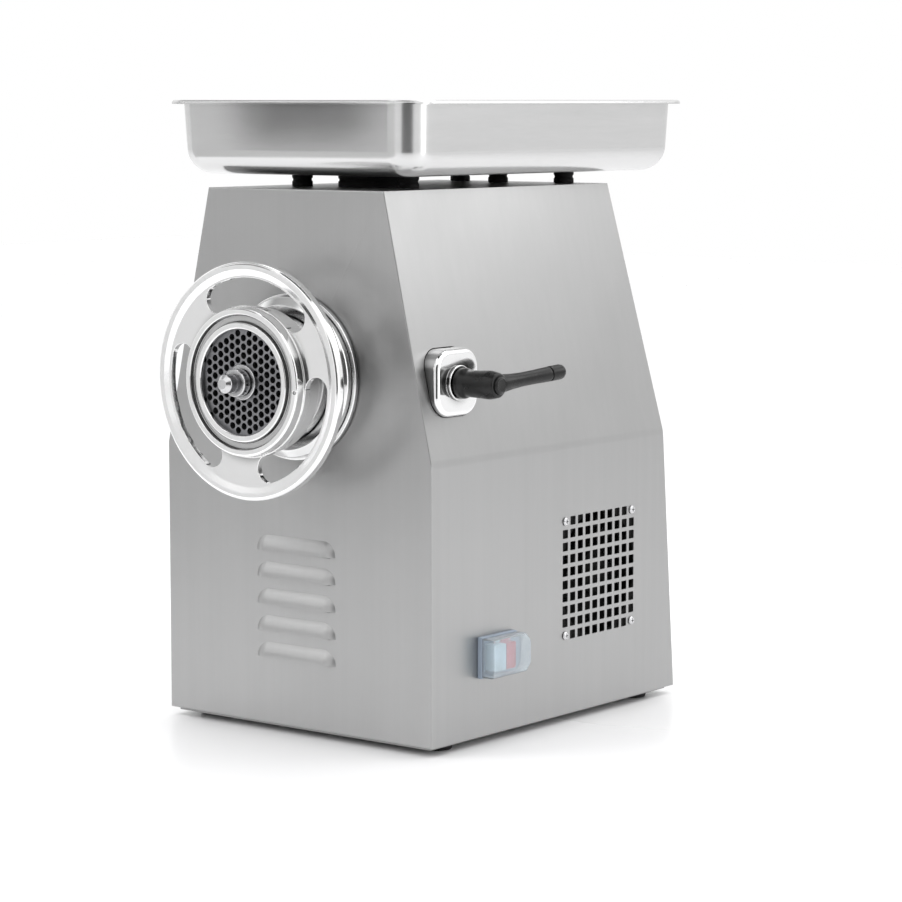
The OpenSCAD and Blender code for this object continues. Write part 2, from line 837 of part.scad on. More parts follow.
// The coil is drawn as three turns of wire between its seat and the stud's head
module lever_spring() {
    wire_r = 0.7;
    color(dark_steel) translate([spring_seat_x, clamp_y, head_z]) rotate([0, 90, 0])
        for (k = [0:2]) translate([0, 0, 1 + 3 * k])
            rotate_extrude() translate([5, 0]) circle(wire_r, $fn = 16);
}

// ---- Switch ----

module switch_shape(w, h, chamfer) {
    difference() {
        square([w, h], center = true);
        for (s = [-1, 1]) translate([w / 2, s * h / 2]) rotate(45) square(chamfer * sqrt(2), center = true);
    }
}

bezel_t = 5;
boot_wall = 1.2;
button_x = side_x + bezel_t;
button_end = side_x + switch_out - boot_wall - 1;
button_h = switch_h - 13;
start_w = 16;
stop_w = 14;
window_y = -switch_w / 2 + 6;
window_w = start_w + stop_w;

module on_switch(x0, x1) {
    sideways(x0, x1) translate([switch_y, base_z + switch_z]) children();
}

module switch_window() {
    translate([window_y, -button_h / 2]) square([window_w, button_h]);
}

// One press button, from the given start along the window
module press_button(start, length) {
    on_switch(side_x - 3, button_end)
        translate([window_y + start + slide_gap, -button_h / 2 + slide_gap])
            square([length - 2 * slide_gap, button_h - 2 * slide_gap]);
}

module switch_block() {
    color(black) difference() {
        on_switch(inner_x - 34, side_x) square([switch_w - 8.6, switch_h - 9.6], center = true);
        on_switch(inner_x - 12, side_x + cut) switch_window();
    }
}

module switch_bezel() {
    color([0.42, 0.48, 0.55]) difference() {
        on_switch(side_x, button_x) switch_shape(switch_w, switch_h, 7);
        on_switch(side_x - cut, button_x + cut) switch_window();
    }
}

module start_button() {
    color([0.72, 0.8, 0.86]) press_button(0, start_w);
}

module stop_button() {
    color([0.82, 0.12, 0.12]) press_button(start_w, stop_w);
}

module switch_boot() {
    color([0.9, 0.93, 0.95, 0.5]) difference() {
        on_switch(button_x, side_x + switch_out) switch_shape(switch_w - 2, switch_h - 2, 7);
        on_switch(button_x - cut, side_x + switch_out - boot_wall)
            switch_shape(switch_w - 2 - 2 * boot_wall, switch_h - 2 - 2 * boot_wall, 7);
    }
}

// ---- Cooling fan ----

fan_in_x = inner_x - fan_t;
fan_hole_r = fan_size / 2 - 2;
fan_hub_r = 20;

module on_fan(x0, x1) {
    sideways(x0, x1) translate([fan_y, base_z + fan_z]) children();
}

module fan_frame() {
    color(black) {
        difference() {
            on_fan(fan_in_x, inner_x) rounded(fan_size, fan_size, 5);
            on_fan(fan_in_x - cut, inner_x + cut) circle(fan_hole_r);
            on_fan(fan_in_x - cut, inner_x + cut)
                at_corners(fan_screw_pitch / 2, fan_screw_pitch / 2) circle(2);
        }
        on_fan(fan_in_x, fan_in_x + 3) {
            circle(fan_hub_r - 1);
            for (k = [0:3]) rotate(45 + 90 * k) translate([0, -2]) square([fan_hole_r + 1, 4]);
        }
        rod_x(2, fan_in_x + 2, inner_x - 4, fan_y, base_z + fan_z);
    }
}

module fan_rotor() {
    x0 = fan_in_x + 4;
    depth = fan_t - 8;
    color([0.12, 0.12, 0.13]) difference() {
        union() {
            rod_x(fan_hub_r, x0, x0 + depth, fan_y, base_z + fan_z);
            translate([x0 + depth / 2, fan_y, base_z + fan_z]) for (k = [0:6])
                rotate([360 / 7 * k, 0, 0]) intersection() {
                    translate([0, 0, fan_hub_r - 2]) rotate([0, 0, 38])
                        translate([-1, -12, 0]) cube([2, 24, fan_hole_r - fan_hub_r]);
                    translate([-depth / 2, -30, 0]) cube([depth, 60, fan_hole_r]);
                    rotate([0, 90, 0]) cylinder(r = fan_hole_r - 1.5, h = depth, center = true);
                }
        }
        rod_x(2 + run_gap, x0 - cut, x0 + depth + cut, fan_y, base_z + fan_z);
    }
}

module grille_screws() {
    color(polished) translate([0, fan_y, base_z + fan_z])
        for (i = [-1, 1], j = [-1, 1]) translate([0, i * fan_screw_pitch / 2, j * fan_screw_pitch / 2]) {
            rod_x(2, inner_x - 20, side_x, 0, 0);
            rod_x(4, side_x, side_x + 1.4, 0, 0);
            translate([side_x + 1.4, 0, 0]) rotate([0, 90, 0]) cylinder(r1 = 4, r2 = 2.6, h = 0.8);
        }
}

// ---- Gearbox ----

// Outline round the three gear axes, with the given wall taken off
module gearbox_outline(in) {
    r2 = gear2_m * (gear2_wheel + 2) / 2 + 10 - in;
    r1 = gear1_m * (gear1_wheel + 2) / 2 + 10 - in;
    r0 = 34 - in;
    translate([0, head_z]) circle(r2);
    translate([0, inter_z]) circle(r1);
    translate([0, motor_z]) circle(r0);
    polygon([[-r2 + 2, head_z], [r2 - 2, head_z], [r1 - 2, inter_z], [-r1 + 2, inter_z]]);
    polygon([[-r1 + 6, inter_z], [r1 - 6, inter_z], [r0 - 1, motor_z], [-r0 + 1, motor_z]]);
}

seal_r = 25;
bearing_t = 18;
small_bearing_t = 12;

module gearbox_housing() {
    color(cast) difference() {
        union() {
            difference() {
                upright(gearbox_y, gearbox_back - wall_t) gearbox_outline(0);
                upright(gearbox_y + wall_t, gearbox_back) gearbox_outline(6);
            }
            rod_y(46, gearbox_y + wall_t - 1, gearbox_y + 6 + bearing_t, head_z);
            rod_y(26, gearbox_y + wall_t - 1, gearbox_y + wall_t + 4 + small_bearing_t, inter_z);
        }
        rod_y(40, gearbox_y + 6, gearbox_y + 7 + bearing_t, head_z);
        rod_y(seal_r + 7, gearbox_y - cut, gearbox_y + 7, head_z);
        rod_y(20, gearbox_y + wall_t + 4, gearbox_y + 2 * wall_t + small_bearing_t, inter_z);
        rod_y(small_shaft_r + 3, gearbox_y - cut, gearbox_y + wall_t + cut, motor_z);
    }
}

module gearbox_cover() {
    color(cast) difference() {
        union() {
            upright(gearbox_back - wall_t, gearbox_back) gearbox_outline(0);
            rod_y(37, rear_seat_y, gearbox_back - 1, head_z);
            rod_y(26, rear_seat_y, gearbox_back - 1, inter_z);
        }
        rod_y(31, rear_seat_y - cut, rear_seat_y + 14, head_z);
        rod_y(20, rear_seat_y - cut, rear_seat_y + small_bearing_t, inter_z);
    }
}

module output_shaft() {
    seat_y = gearbox_y + 6 + bearing_t;
    color(dark_steel) difference() {
        turned_y([
            [0, drive_front], [hub_socket_r, drive_front], [hub_socket_r, gearbox_y - 6],
            [seal_r, gearbox_y - 6], [seal_r, gearbox_y + 6], [journal_r, gearbox_y + 6],
            [journal_r, gear2_y + gear2_w + 1], [rear_journal_r, gear2_y + gear2_w + 1],
            [rear_journal_r, rear_seat_y + 13], [0, rear_seat_y + 13]], head_z);
        translate([-tang / 2 - slide_gap, drive_front - cut, head_z - tang / 2 - slide_gap])
            cube([tang + 2 * slide_gap, 30 + cut, tang + 2 * slide_gap]);
    }
}

module output_gear() {
    color(dark_steel) difference() {
        gear_at(gear2_y, head_z) spur_gear(gear2_m, gear2_wheel, gear2_w);
        rod_y(journal_r, gear2_y - cut, gear2_y + gear2_w + cut, head_z);
    }
}

module output_bearings() {
    color(polished) {
        tube_y(40, journal_r + run_gap, gearbox_y + 6, gearbox_y + 6 + bearing_t, head_z);
        tube_y(31, rear_journal_r + run_gap, rear_seat_y, rear_seat_y + 14, head_z);
    }
}

module shaft_seal() {
    color(rubber) tube_y(seal_r + 7, seal_r + run_gap, gearbox_y, gearbox_y + 6, head_z);
}

module intermediate_shaft() {
    color(dark_steel) {
        rod_y(small_shaft_r, gearbox_y + wall_t + 5, rear_seat_y + small_bearing_t - 1, inter_z);
        gear_at(gear2_y, inter_z) spur_gear(gear2_m, gear2_pinion, gear2_w, 180 / gear2_pinion);
    }
}

module intermediate_gear() {
    color(dark_steel) difference() {
        gear_at(gear1_y, inter_z) spur_gear(gear1_m, gear1_wheel, gear1_w);
        rod_y(small_shaft_r, gear1_y - cut, gear1_y + gear1_w + cut, inter_z);
    }
}

module intermediate_bearings() {
    color(polished) {
        tube_y(20, small_shaft_r + run_gap, gearbox_y + wall_t + 4,
               gearbox_y + wall_t + 4 + small_bearing_t, inter_z);
        tube_y(20, small_shaft_r + run_gap, rear_seat_y, rear_seat_y + small_bearing_t, inter_z);
    }
}

// ---- Motor ----

bell_t = 12;
rotor_r = 40;
stack_len = 90;
stack_y = (motor_front + motor_back) / 2 - stack_len / 2;

module motor_shell() {
    color([0.55, 0.57, 0.6]) difference() {
        union() {
            rod_y(motor_r - 4, motor_front + bell_t, motor_back - bell_t, motor_z);
            for (k = [0:17]) translate([0, 0, motor_z]) rotate([0, 20 * k, 0])
                translate([-1, motor_front + bell_t + 3, motor_r - 6])
                    cube([2, motor_len - bell_t - 6, 6]);
        }
        rod_y(motor_r - 8, motor_front, motor_back, motor_z);
    }
}

// End bell of the motor from y0 on, with its bearing's seat and a hole for the shaft
module motor_bell(y0, seat_y) {
    color(cast) difference() {
        rod_y(motor_r, y0, y0 + bell_t, motor_z);
        rod_y(20, seat_y, seat_y + bell_t, motor_z);
        rod_y(small_shaft_r + 1, y0 + 2, y0 + bell_t + cut, motor_z);
    }
}

module motor_front_bell() {
    motor_bell(motor_front, motor_front + 3);
}

module motor_rear_bell() {
    motor_bell(motor_back - bell_t, motor_back - 3 - bell_t);
}

module stator() {
    color(copper) {
        tube_y(motor_r - 8, rotor_r + 0.5, stack_y, stack_y + stack_len, motor_z);
        for (s = [0, 1])
            tube_y(motor_r - 12, rotor_r + 6, stack_y + s * (stack_len + 14) - 14, stack_y + s * (stack_len + 14),
                   motor_z);
    }
}

module rotor() {
    color(cast) tube_y(rotor_r, small_shaft_r + 2, stack_y, stack_y + stack_len, motor_z);
}

module motor_shaft() {
    color(dark_steel) {
        rod_y(small_shaft_r, motor_front + 4, gear1_y + gear1_w + 2, motor_z);
        rod_y(small_shaft_r + 2, stack_y, stack_y + stack_len, motor_z);
        gear_at(gear1_y, motor_z) spur_gear(gear1_m, gear1_pinion, gear1_w, 180 / gear1_pinion);
    }
}

module motor_bearings() {
    color(polished) {
        tube_y(20, small_shaft_r + run_gap, motor_front + 3, motor_front + bell_t, motor_z);
        tube_y(20, small_shaft_r + run_gap, motor_back - bell_t, motor_back - 3, motor_z);
    }
}

module motor_cradle() {
    half = 60;
    rise = motor_z - base_z - 30;
    color(steel) difference() {
        union() {
            for (y = [motor_front + 30, motor_back - 34])
                translate([-half, y, base_z]) cube([2 * half, 4, rise]);
            translate([-half, motor_front + 30, base_z])
                cube([2 * half, motor_back - motor_front - 60, 3]);
        }
        rod_y(motor_r + 0.2, motor_front, motor_back, motor_z);
    }
}

front_panel();
side_panel_right();
side_panel_left();
rear_panel();
top_panel();
base_plate();
feet();
rear_screws();
tray_supports();
neck_gasket();
tray();
cable_gland();
gland_nut();
electrical_box();
capacitor();
head_sleeve();
head_flange();
barrel();
barrel_bush();
plate_key();
feed_screw();
knife();
hole_plate();
handwheel_nut();
centre_nut();
clamp_boss();
clamp_washer();
clamp_screw();
clamp_lever();
lever_end_cap();
lever_button();
lever_spring();
switch_block();
switch_bezel();
start_button();
stop_button();
switch_boot();
fan_frame();
fan_rotor();
grille_screws();
gearbox_housing();
gearbox_cover();
output_shaft();
output_gear();
output_bearings();
shaft_seal();
intermediate_shaft();
intermediate_gear();
intermediate_bearings();
motor_shell();
motor_front_bell();
motor_rear_bell();
stator();
rotor();
motor_shaft();
motor_bearings();
motor_cradle();
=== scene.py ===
"""Looks of a countertop electric meat grinder, laid out as an add-on and run as a script."""

import json
import math

import bmesh
import bpy
from bpy.props import FloatProperty, FloatVectorProperty, IntProperty, PointerProperty
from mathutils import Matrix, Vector

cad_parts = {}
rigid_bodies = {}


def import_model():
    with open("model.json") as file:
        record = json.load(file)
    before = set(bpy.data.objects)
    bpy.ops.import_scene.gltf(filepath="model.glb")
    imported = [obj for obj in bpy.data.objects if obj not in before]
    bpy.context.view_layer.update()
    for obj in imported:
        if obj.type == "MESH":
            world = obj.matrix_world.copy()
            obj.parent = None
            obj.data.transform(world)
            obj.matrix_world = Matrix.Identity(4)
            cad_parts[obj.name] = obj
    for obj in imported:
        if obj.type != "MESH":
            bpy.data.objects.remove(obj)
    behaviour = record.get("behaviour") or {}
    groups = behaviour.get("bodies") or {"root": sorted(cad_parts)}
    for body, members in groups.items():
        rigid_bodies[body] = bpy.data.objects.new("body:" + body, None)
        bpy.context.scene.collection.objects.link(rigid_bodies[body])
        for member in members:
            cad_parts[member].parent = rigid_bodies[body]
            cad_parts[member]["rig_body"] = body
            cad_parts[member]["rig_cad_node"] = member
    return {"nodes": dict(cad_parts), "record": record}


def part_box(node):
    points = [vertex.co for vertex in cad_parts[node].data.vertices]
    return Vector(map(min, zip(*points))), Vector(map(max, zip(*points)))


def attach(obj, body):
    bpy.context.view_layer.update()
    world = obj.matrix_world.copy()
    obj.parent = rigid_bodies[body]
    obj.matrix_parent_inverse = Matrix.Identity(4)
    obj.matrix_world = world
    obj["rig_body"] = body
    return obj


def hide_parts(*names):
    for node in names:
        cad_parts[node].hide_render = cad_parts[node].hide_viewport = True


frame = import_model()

bl_info = {
    "name": "Electric Meat Grinder",
    "version": (1, 0, 0),
    "blender": (4, 5, 0),
    "location": "View3D > Sidebar > Meat Grinder",
    "description": "Models and finishes a countertop electric meat grinder round its engineering model",
    "category": "Add Mesh",
}

MM = 0.001

# ---- Places that come from the engineering model ----

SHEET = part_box("top_panel")[1].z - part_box("top_panel")[0].z
SIDE_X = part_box("side_panel_right")[1].x
TOP_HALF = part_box("side_panel_right")[0].x + SHEET
BASE_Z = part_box("side_panel_right")[0].z
TOP_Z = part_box("side_panel_right")[1].z
FRONT_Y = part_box("side_panel_right")[0].y - SHEET
BACK_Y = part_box("side_panel_right")[1].y
BACK_TOP_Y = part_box("rear_panel")[0].y + SHEET
LOUVRE_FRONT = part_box("front_panel")[0].y
TRAY_LOW, TRAY_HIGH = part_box("tray")
TRAY_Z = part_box("tray_supports")[1].z
INLET_Y = (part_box("neck_gasket")[0].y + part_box("neck_gasket")[1].y) / 2
HEAD_Z = (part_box("hole_plate")[0].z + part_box("hole_plate")[1].z) / 2
PLATE_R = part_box("hole_plate")[1].x
PLATE_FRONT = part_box("hole_plate")[0].y
WHEEL_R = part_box("handwheel_nut")[1].x
WHEEL_FRONT, WHEEL_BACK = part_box("handwheel_nut")[0].y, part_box("handwheel_nut")[1].y
FLANGE_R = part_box("head_flange")[1].x
FLANGE_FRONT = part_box("head_flange")[0].y
BARREL_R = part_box("barrel")[1].x
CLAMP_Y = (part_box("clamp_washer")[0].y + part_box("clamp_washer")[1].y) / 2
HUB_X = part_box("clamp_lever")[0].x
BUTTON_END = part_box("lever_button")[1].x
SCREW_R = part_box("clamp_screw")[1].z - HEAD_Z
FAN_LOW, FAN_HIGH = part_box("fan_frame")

# ---- Small sizes that several pieces share ----

CUT = 1 * MM            # how far a cutter reaches past the piece that it cuts
PLAY = 0.3 * MM         # free play between a turning piece and its neighbour
SHEET_EASE = 0.4 * MM   # rounding of a cut sheet edge
FRONT_HOLE_R = FLANGE_R - 12 * MM
COLLAR_STEP = 2 * MM    # how far the clamp screw's collar stands past its thread


class GrinderSizes(bpy.types.PropertyGroup):
    """Sizes of the shown pieces."""

    crease: FloatProperty(
        name="Crease", description="Height of the side panels' crease above their bottom edge",
        default=0.247, unit="LENGTH")
    louvres: IntProperty(name="Louvres", description="Number of louvres in the front panel", default=5)
    louvre_pitch: FloatProperty(
        name="Louvre pitch", description="Distance from one louvre to the next",
        default=0.0243, unit="LENGTH")
    louvre_height: FloatProperty(
        name="Louvre height", description="Height of the lowest louvre above the bottom edge",
        default=0.060, unit="LENGTH")
    louvre_width: FloatProperty(
        name="Louvre width", description="Length of one louvre", default=0.092, unit="LENGTH")
    louvre_hood: FloatProperty(
        name="Louvre hood", description="Height of one louvre's hood", default=0.014, unit="LENGTH")
    grille_holes: IntProperty(
        name="Grille holes", description="Holes along each side of the grille", default=10)
    grille_hole: FloatProperty(
        name="Grille hole", description="Side of one square grille hole", default=0.008, unit="LENGTH")
    fan_screws: FloatProperty(
        name="Fan screws", description="Distance between the fan's screws", default=0.105, unit="LENGTH")
    tray_lip: FloatProperty(
        name="Tray flange", description="Width of the tray's flange", default=0.0086, unit="LENGTH")
    tray_corner: FloatProperty(
        name="Tray corner", description="Upright corner radius of the tray", default=0.028, unit="LENGTH")
    tray_edge: FloatProperty(
        name="Tray edge", description="Radius between the tray's floor and its walls",
        default=0.022, unit="LENGTH")
    tray_draft: FloatProperty(
        name="Tray draft", description="How far the tray's walls lean in at their foot",
        default=0.003, unit="LENGTH")
    throat_radius: FloatProperty(
        name="Throat radius", description="Radius of the throat in the tray's floor",
        default=0.026, unit="LENGTH")
    rim_width: FloatProperty(
        name="Rim width", description="Width of the handwheel's rim", default=0.013, unit="LENGTH")
    rim_thickness: FloatProperty(
        name="Rim thickness", description="Thickness of the handwheel's rim",
        default=0.011, unit="LENGTH")
    rim_set_back: FloatProperty(
        name="Rim set-back", description="Distance from the ring nut's front to the middle of its rim",
        default=0.013, unit="LENGTH")
    web_thickness: FloatProperty(
        name="Web thickness", description="Thickness of the handwheel's web",
        default=0.0056, unit="LENGTH")
    boss_side: FloatProperty(
        name="Boss side", description="Side of the square clamp boss", default=0.059, unit="LENGTH")
    boss_corner: FloatProperty(
        name="Boss corner", description="Corner radius of the clamp boss", default=0.018, unit="LENGTH")
    arm_length: FloatProperty(
        name="Arm length", description="Length of the lever's arm from the hub's axis",
        default=0.084, unit="LENGTH")


class GrinderFinishes(bpy.types.PropertyGroup):
    """Colours of the finishes."""

    steel: FloatVectorProperty(
        name="Casing steel", description="Brushed sheet of the casing", subtype="COLOR", size=4,
        default=(0.40, 0.40, 0.40, 1))
    tray: FloatVectorProperty(
        name="Tray steel", description="Drawn sheet of the tray", subtype="COLOR", size=4,
        default=(0.62, 0.62, 0.62, 1))
    polished: FloatVectorProperty(
        name="Polished steel", description="Polished head and fittings", subtype="COLOR", size=4,
        default=(0.88, 0.88, 0.88, 1))
    ground: FloatVectorProperty(
        name="Ground steel", description="Ground steel of the hole plate and the feed screw",
        subtype="COLOR", size=4,
        default=(0.22, 0.22, 0.23, 1))
    black: FloatVectorProperty(
        name="Black plastic", description="Moulded lever and small fittings", subtype="COLOR", size=4,
        default=(0.006, 0.006, 0.006, 1))
    switch_grey: FloatVectorProperty(
        name="Switch plate", description="Blue-grey plate of the switch", subtype="COLOR", size=4,
        default=(0.26, 0.31, 0.38, 1))
    start: FloatVectorProperty(
        name="Start button", description="Pale blue start button", subtype="COLOR", size=4,
        default=(0.58, 0.70, 0.77, 1))
    stop: FloatVectorProperty(
        name="Stop button", description="Red stop button", subtype="COLOR", size=4,
        default=(0.55, 0.09, 0.12, 1))
    silicone: FloatVectorProperty(
        name="Switch cover", description="Frosted silicone cover", subtype="COLOR", size=4,
        default=(0.90, 0.95, 0.98, 1))


class GrinderStage(bpy.types.PropertyGroup):
    """Floor, lights and camera."""

    key_power: FloatProperty(
        name="Key light", description="Power of the key light", default=24, subtype="POWER")
    strip_power: FloatProperty(
        name="Strip light", description="Power of the upright strip on the right",
        default=5, subtype="POWER")
    glow_power: FloatProperty(
        name="Glow light", description="Power of the soft light behind the lever's side",
        default=2, subtype="POWER")
    top_power: FloatProperty(
        name="Top light", description="Power of the top light", default=14, subtype="POWER")
    floor: FloatVectorProperty(
        name="Floor", description="Colour of the floor", subtype="COLOR", size=4,
        default=(0.86, 0.86, 0.865, 1))
    focal_length: FloatProperty(
        name="Focal length", description="Focal length of the camera in millimetres", default=121.18)


# ---- Modelling helpers ----


def take(*objects):
    """Selects these objects alone, in object mode, and makes the first one active."""
    if bpy.context.object and bpy.context.object.mode != "OBJECT":
        bpy.ops.object.mode_set(mode="OBJECT")
    bpy.ops.object.select_all(action="DESELECT")
    for item in objects:
        item.select_set(True)
    bpy.context.view_layer.objects.active = objects[0] if objects else None


def settle(name):
    """Names the new active object and puts its place, turn and size into its mesh."""
    item = bpy.context.active_object
    item.name = item.data.name = name
    take(item)
    bpy.ops.object.transform_apply(location=True, rotation=True, scale=True)
    return item


def edit(item):
    """Opens one object in edit mode."""
    take(item)
    bpy.ops.object.mode_set(mode="EDIT")


def leave():
    bpy.ops.object.mode_set(mode="OBJECT")


def face_outward():
    """In edit mode, turns every face's normal outward."""
    bpy.ops.mesh.select_all(action="SELECT")
    bpy.ops.mesh.normals_make_consistent(inside=False)


def pick(item, mode, test):
    """In edit mode, selects the vertices, edges or faces that pass a test, and returns their number."""
    bpy.ops.mesh.select_mode(type=mode)
    bpy.ops.mesh.select_all(action="DESELECT")
    mesh = bmesh.from_edit_mesh(item.data)
    elements = {"VERT": mesh.verts, "EDGE": mesh.edges, "FACE": mesh.faces}[mode]
    chosen = [element for element in elements if test(element)]
    for element in chosen:
        element.select_set(True)
    bmesh.update_edit_mesh(item.data)
    return len(chosen)


def near(value, target, reach=0.00005):
    return abs(value - target) < reach


def runs(edge, axis):
    """True if an edge runs along an axis, 0 to 2."""
    a, b = (v.co for v in edge.verts)
    return abs((b - a).normalized()[axis]) > 0.999


def lies(element, axis, value, reach=0.00005):
    """True if every vertex of an edge or face has this coordinate."""
    return all(near(v.co[axis], value, reach) for v in element.verts)


def block(name, low, high):
    """A box from its lowest to its highest corner."""
    low, high = Vector(low), Vector(high)
    take()
    bpy.ops.mesh.primitive_cube_add(size=1, location=(low + high) / 2, scale=high - low)
    return settle(name)


def rod(name, radius, start, end, sides=64):
    """A cylinder between two points."""
    start, end = Vector(start), Vector(end)
    turn = (end - start).to_track_quat("Z", "Y").to_euler()
    take()
    bpy.ops.mesh.primitive_cylinder_add(
        vertices=sides, radius=radius, depth=(end - start).length,
        location=(start + end) / 2, rotation=turn)
    return settle(name)


def round_edges(item, test, radius, cuts=6):
    """Rounds the edges that pass a test."""
    edit(item)
    if pick(item, "EDGE", test):
        bpy.ops.mesh.bevel(offset=radius, segments=cuts, affect="EDGES")
    leave()


def filleted(points, cuts=5):
    """Profile points with their corners rounded; a point is (u, v) or (u, v, radius)."""
    out = []
    last = len(points) - 1
    for i, point in enumerate(points):
        here = Vector(point[:2])
        radius = point[2] if len(point) > 2 else 0
        if not radius or i in (0, last):
            out.append(here)
            continue
        a = (Vector(points[i - 1][:2]) - here).normalized()
        b = (Vector(points[i + 1][:2]) - here).normalized()
        half = a.angle(b) / 2
        centre = here + (a + b).normalized() * (radius / math.sin(half))
        start = here + a * (radius / math.tan(half)) - centre
        end = here + b * (radius / math.tan(half)) - centre
        first = math.atan2(start.y, start.x)
        sweep = (math.atan2(end.y, end.x) - first + math.pi) % (2 * math.pi) - math.pi
        for k in range(cuts + 1):
            angle = first + sweep * k / cuts
            out.append(centre + Vector((math.cos(angle), math.sin(angle))) * radius)
    return out


def spun(name, axis, centre, profile, steps=96, angle=2 * math.pi, start=0):
    """Turns a profile of (radius, station) points about a line along an axis, and closes it."""
    centre = Vector(centre)
    line = Vector((axis == "X", axis == "Y", axis == "Z"))
    across = {"X": Vector((0, 1, 0)), "Y": Vector((1, 0, 0)), "Z": Vector((1, 0, 0))}[axis]
    out = across * math.cos(start) + across.cross(line) * math.sin(start)
    base = centre - line * centre.dot(line)
    places = [base + out * r + line * s for r, s in profile]
    take()
    bpy.ops.mesh.primitive_plane_add(size=MM, location=places[0])
    item = settle(name)
    edit(item)
    bpy.ops.mesh.select_mode(type="VERT")
    bpy.ops.mesh.select_all(action="SELECT")
    bpy.ops.mesh.merge(type="CENTER")
    for here, there in zip(places, places[1:]):
        bpy.ops.mesh.extrude_region_move(TRANSFORM_OT_translate={"value": there - here})
    bpy.ops.mesh.select_all(action="SELECT")
    bpy.ops.mesh.spin(steps=steps, angle=angle, center=base, axis=line)
    bpy.ops.mesh.select_all(action="SELECT")
    bpy.ops.mesh.remove_doubles(threshold=0.000002)
    face_outward()
    leave()
    return item


def modify(item, kind, **values):
    """Adds one modifier, sets it and applies it."""
    take(item)
    bpy.ops.object.modifier_add(type=kind)
    modifier = item.modifiers[-1]
    for key, value in values.items():
        setattr(modifier, key, value)
    bpy.ops.object.modifier_apply(modifier=modifier.name)
    return item


def combine(item, other, operation="DIFFERENCE"):
    """Cuts another object out of this one, or adds it, and removes the other."""
    modify(item, "BOOLEAN", object=other, operation=operation, solver="EXACT")
    bpy.data.objects.remove(other)
    return item


def join(item, *others):
    take(item, *others)
    bpy.ops.object.join()
    return item


def copy_of(item, name, shift):
    """A copy with its own mesh, moved by a vector."""
    take(item)
    bpy.ops.object.duplicate(linked=False)
    bpy.ops.transform.translate(value=shift)
    return settle(name)


def repeated(item, shifts):
    """Copies an object to each shift, joins the copies and removes the first one."""
    copies = [copy_of(item, f"{item.name}_{i}", shift) for i, shift in enumerate(shifts)]
    bpy.data.objects.remove(item)
    return join(*copies)


def soften(item, width, angle=32, cuts=2):
    """Rounds every sharp edge a little, as a real edge is, and shades the faces smoothly."""
    modify(item, "BEVEL", width=width, segments=cuts, limit_method="ANGLE", angle_limit=math.radians(angle))
    return shade(item)


def shade(item, angle=40):
    take(item)
    bpy.ops.object.shade_smooth_by_angle(angle=math.radians(angle))
    modify(item, "WEIGHTED_NORMAL", keep_sharp=True, weight=60)
    return item


def copy_node(node):
    """A merged copy of a CAD node's mesh under the node's name, to be finished as a shown piece."""
    source = frame["nodes"][node]
    take(source)
    bpy.ops.object.duplicate(linked=False)
    item = bpy.context.active_object
    item.parent = None
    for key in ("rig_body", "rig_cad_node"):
        if key in item:
            del item[key]
    item.name = item.data.name = f"{node}_shown"
    item.data.materials.clear()
    edit(item)
    bpy.ops.mesh.select_all(action="SELECT")
    bpy.ops.mesh.remove_doubles(threshold=0.000004)
    leave()
    return item


def body_with(node):
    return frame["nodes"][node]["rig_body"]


def slot_with(node):
    subparts = frame["record"]["subparts"]
    return next(part["material_slot"] for part in subparts if part["node"] == node)


def hand_over(item, node, finish):
    """Gives a finished piece its material and body, and lets it stand for its CAD node by hiding the node.
    """
    item.data.materials.clear()
    item.data.materials.append(finish)
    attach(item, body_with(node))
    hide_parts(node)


# ---- Shader groups ----


def new_group(name, inputs, outputs):
    """A shader node group with these sockets: inputs are (name, kind, default), outputs (name, kind)."""
    group = bpy.data.node_groups.new(name, "ShaderNodeTree")
    for label, kind, default in inputs:
        socket = group.interface.new_socket(label, in_out="INPUT", socket_type=kind)
        if default is not None:
            socket.default_value = default
    for label, kind in outputs:
        group.interface.new_socket(label, in_out="OUTPUT", socket_type=kind)
    return group, group.nodes.new("NodeGroupInput"), group.nodes.new("NodeGroupOutput")


def node(tree, kind, **values):
    made = tree.nodes.new(kind)
    for key, value in values.items():
        setattr(made, key, value)
    return made


def noise_in(group, vector, scale, detail=3.0, roughness=0.55):
    """A noise's value; its scale is a number or a socket."""
    made = node(group, "ShaderNodeTexNoise")
    made.inputs["Detail"].default_value = detail
    made.inputs["Roughness"].default_value = roughness
    group.links.new(vector, made.inputs["Vector"])
    if isinstance(scale, (int, float)):
        made.inputs["Scale"].default_value = scale
    else:
        group.links.new(scale, made.inputs["Scale"])
    return made.outputs["Fac"]


def spread(group, value, low, high):
    """Stretches a noise's middle range to 0..1."""
    made = node(group, "ShaderNodeMapRange")
    made.inputs["From Min"].default_value = low
    made.inputs["From Max"].default_value = high
    group.links.new(value, made.inputs["Value"])
    return made.outputs["Result"]


def sum_of(group, first, second, operation="ADD"):
    """Adds two values, or joins them by another operation."""
    made = node(group, "ShaderNodeMath", operation=operation)
    for socket, value in zip(made.inputs, (first, second)):
        if isinstance(value, (int, float)):
            socket.default_value = value
        else:
            group.links.new(value, socket)
    return made.outputs[0]


def brushing_group():
    """Fine straight brushing: streaks long in one direction and hair-thin across it."""
    group, source, sink = new_group(
        "Brushing",
        [("Vector", "NodeSocketVector", None), ("Stretch", "NodeSocketVector", (1, 1, 1))],
        [("Streaks", "NodeSocketFloat"), ("Height", "NodeSocketFloat")])
    stretched = node(group, "ShaderNodeVectorMath", operation="MULTIPLY")
    group.links.new(source.outputs["Vector"], stretched.inputs[0])
    group.links.new(source.outputs["Stretch"], stretched.inputs[1])
    fine = noise_in(group, stretched.outputs[0], 1.0, 4.0, 0.7)
    broad = noise_in(group, stretched.outputs[0], 0.09, 2.0)
    group.links.new(spread(group, sum_of(group, fine, broad), 0.6, 1.4), sink.inputs["Streaks"])
    group.links.new(fine, sink.inputs["Height"])
    return group


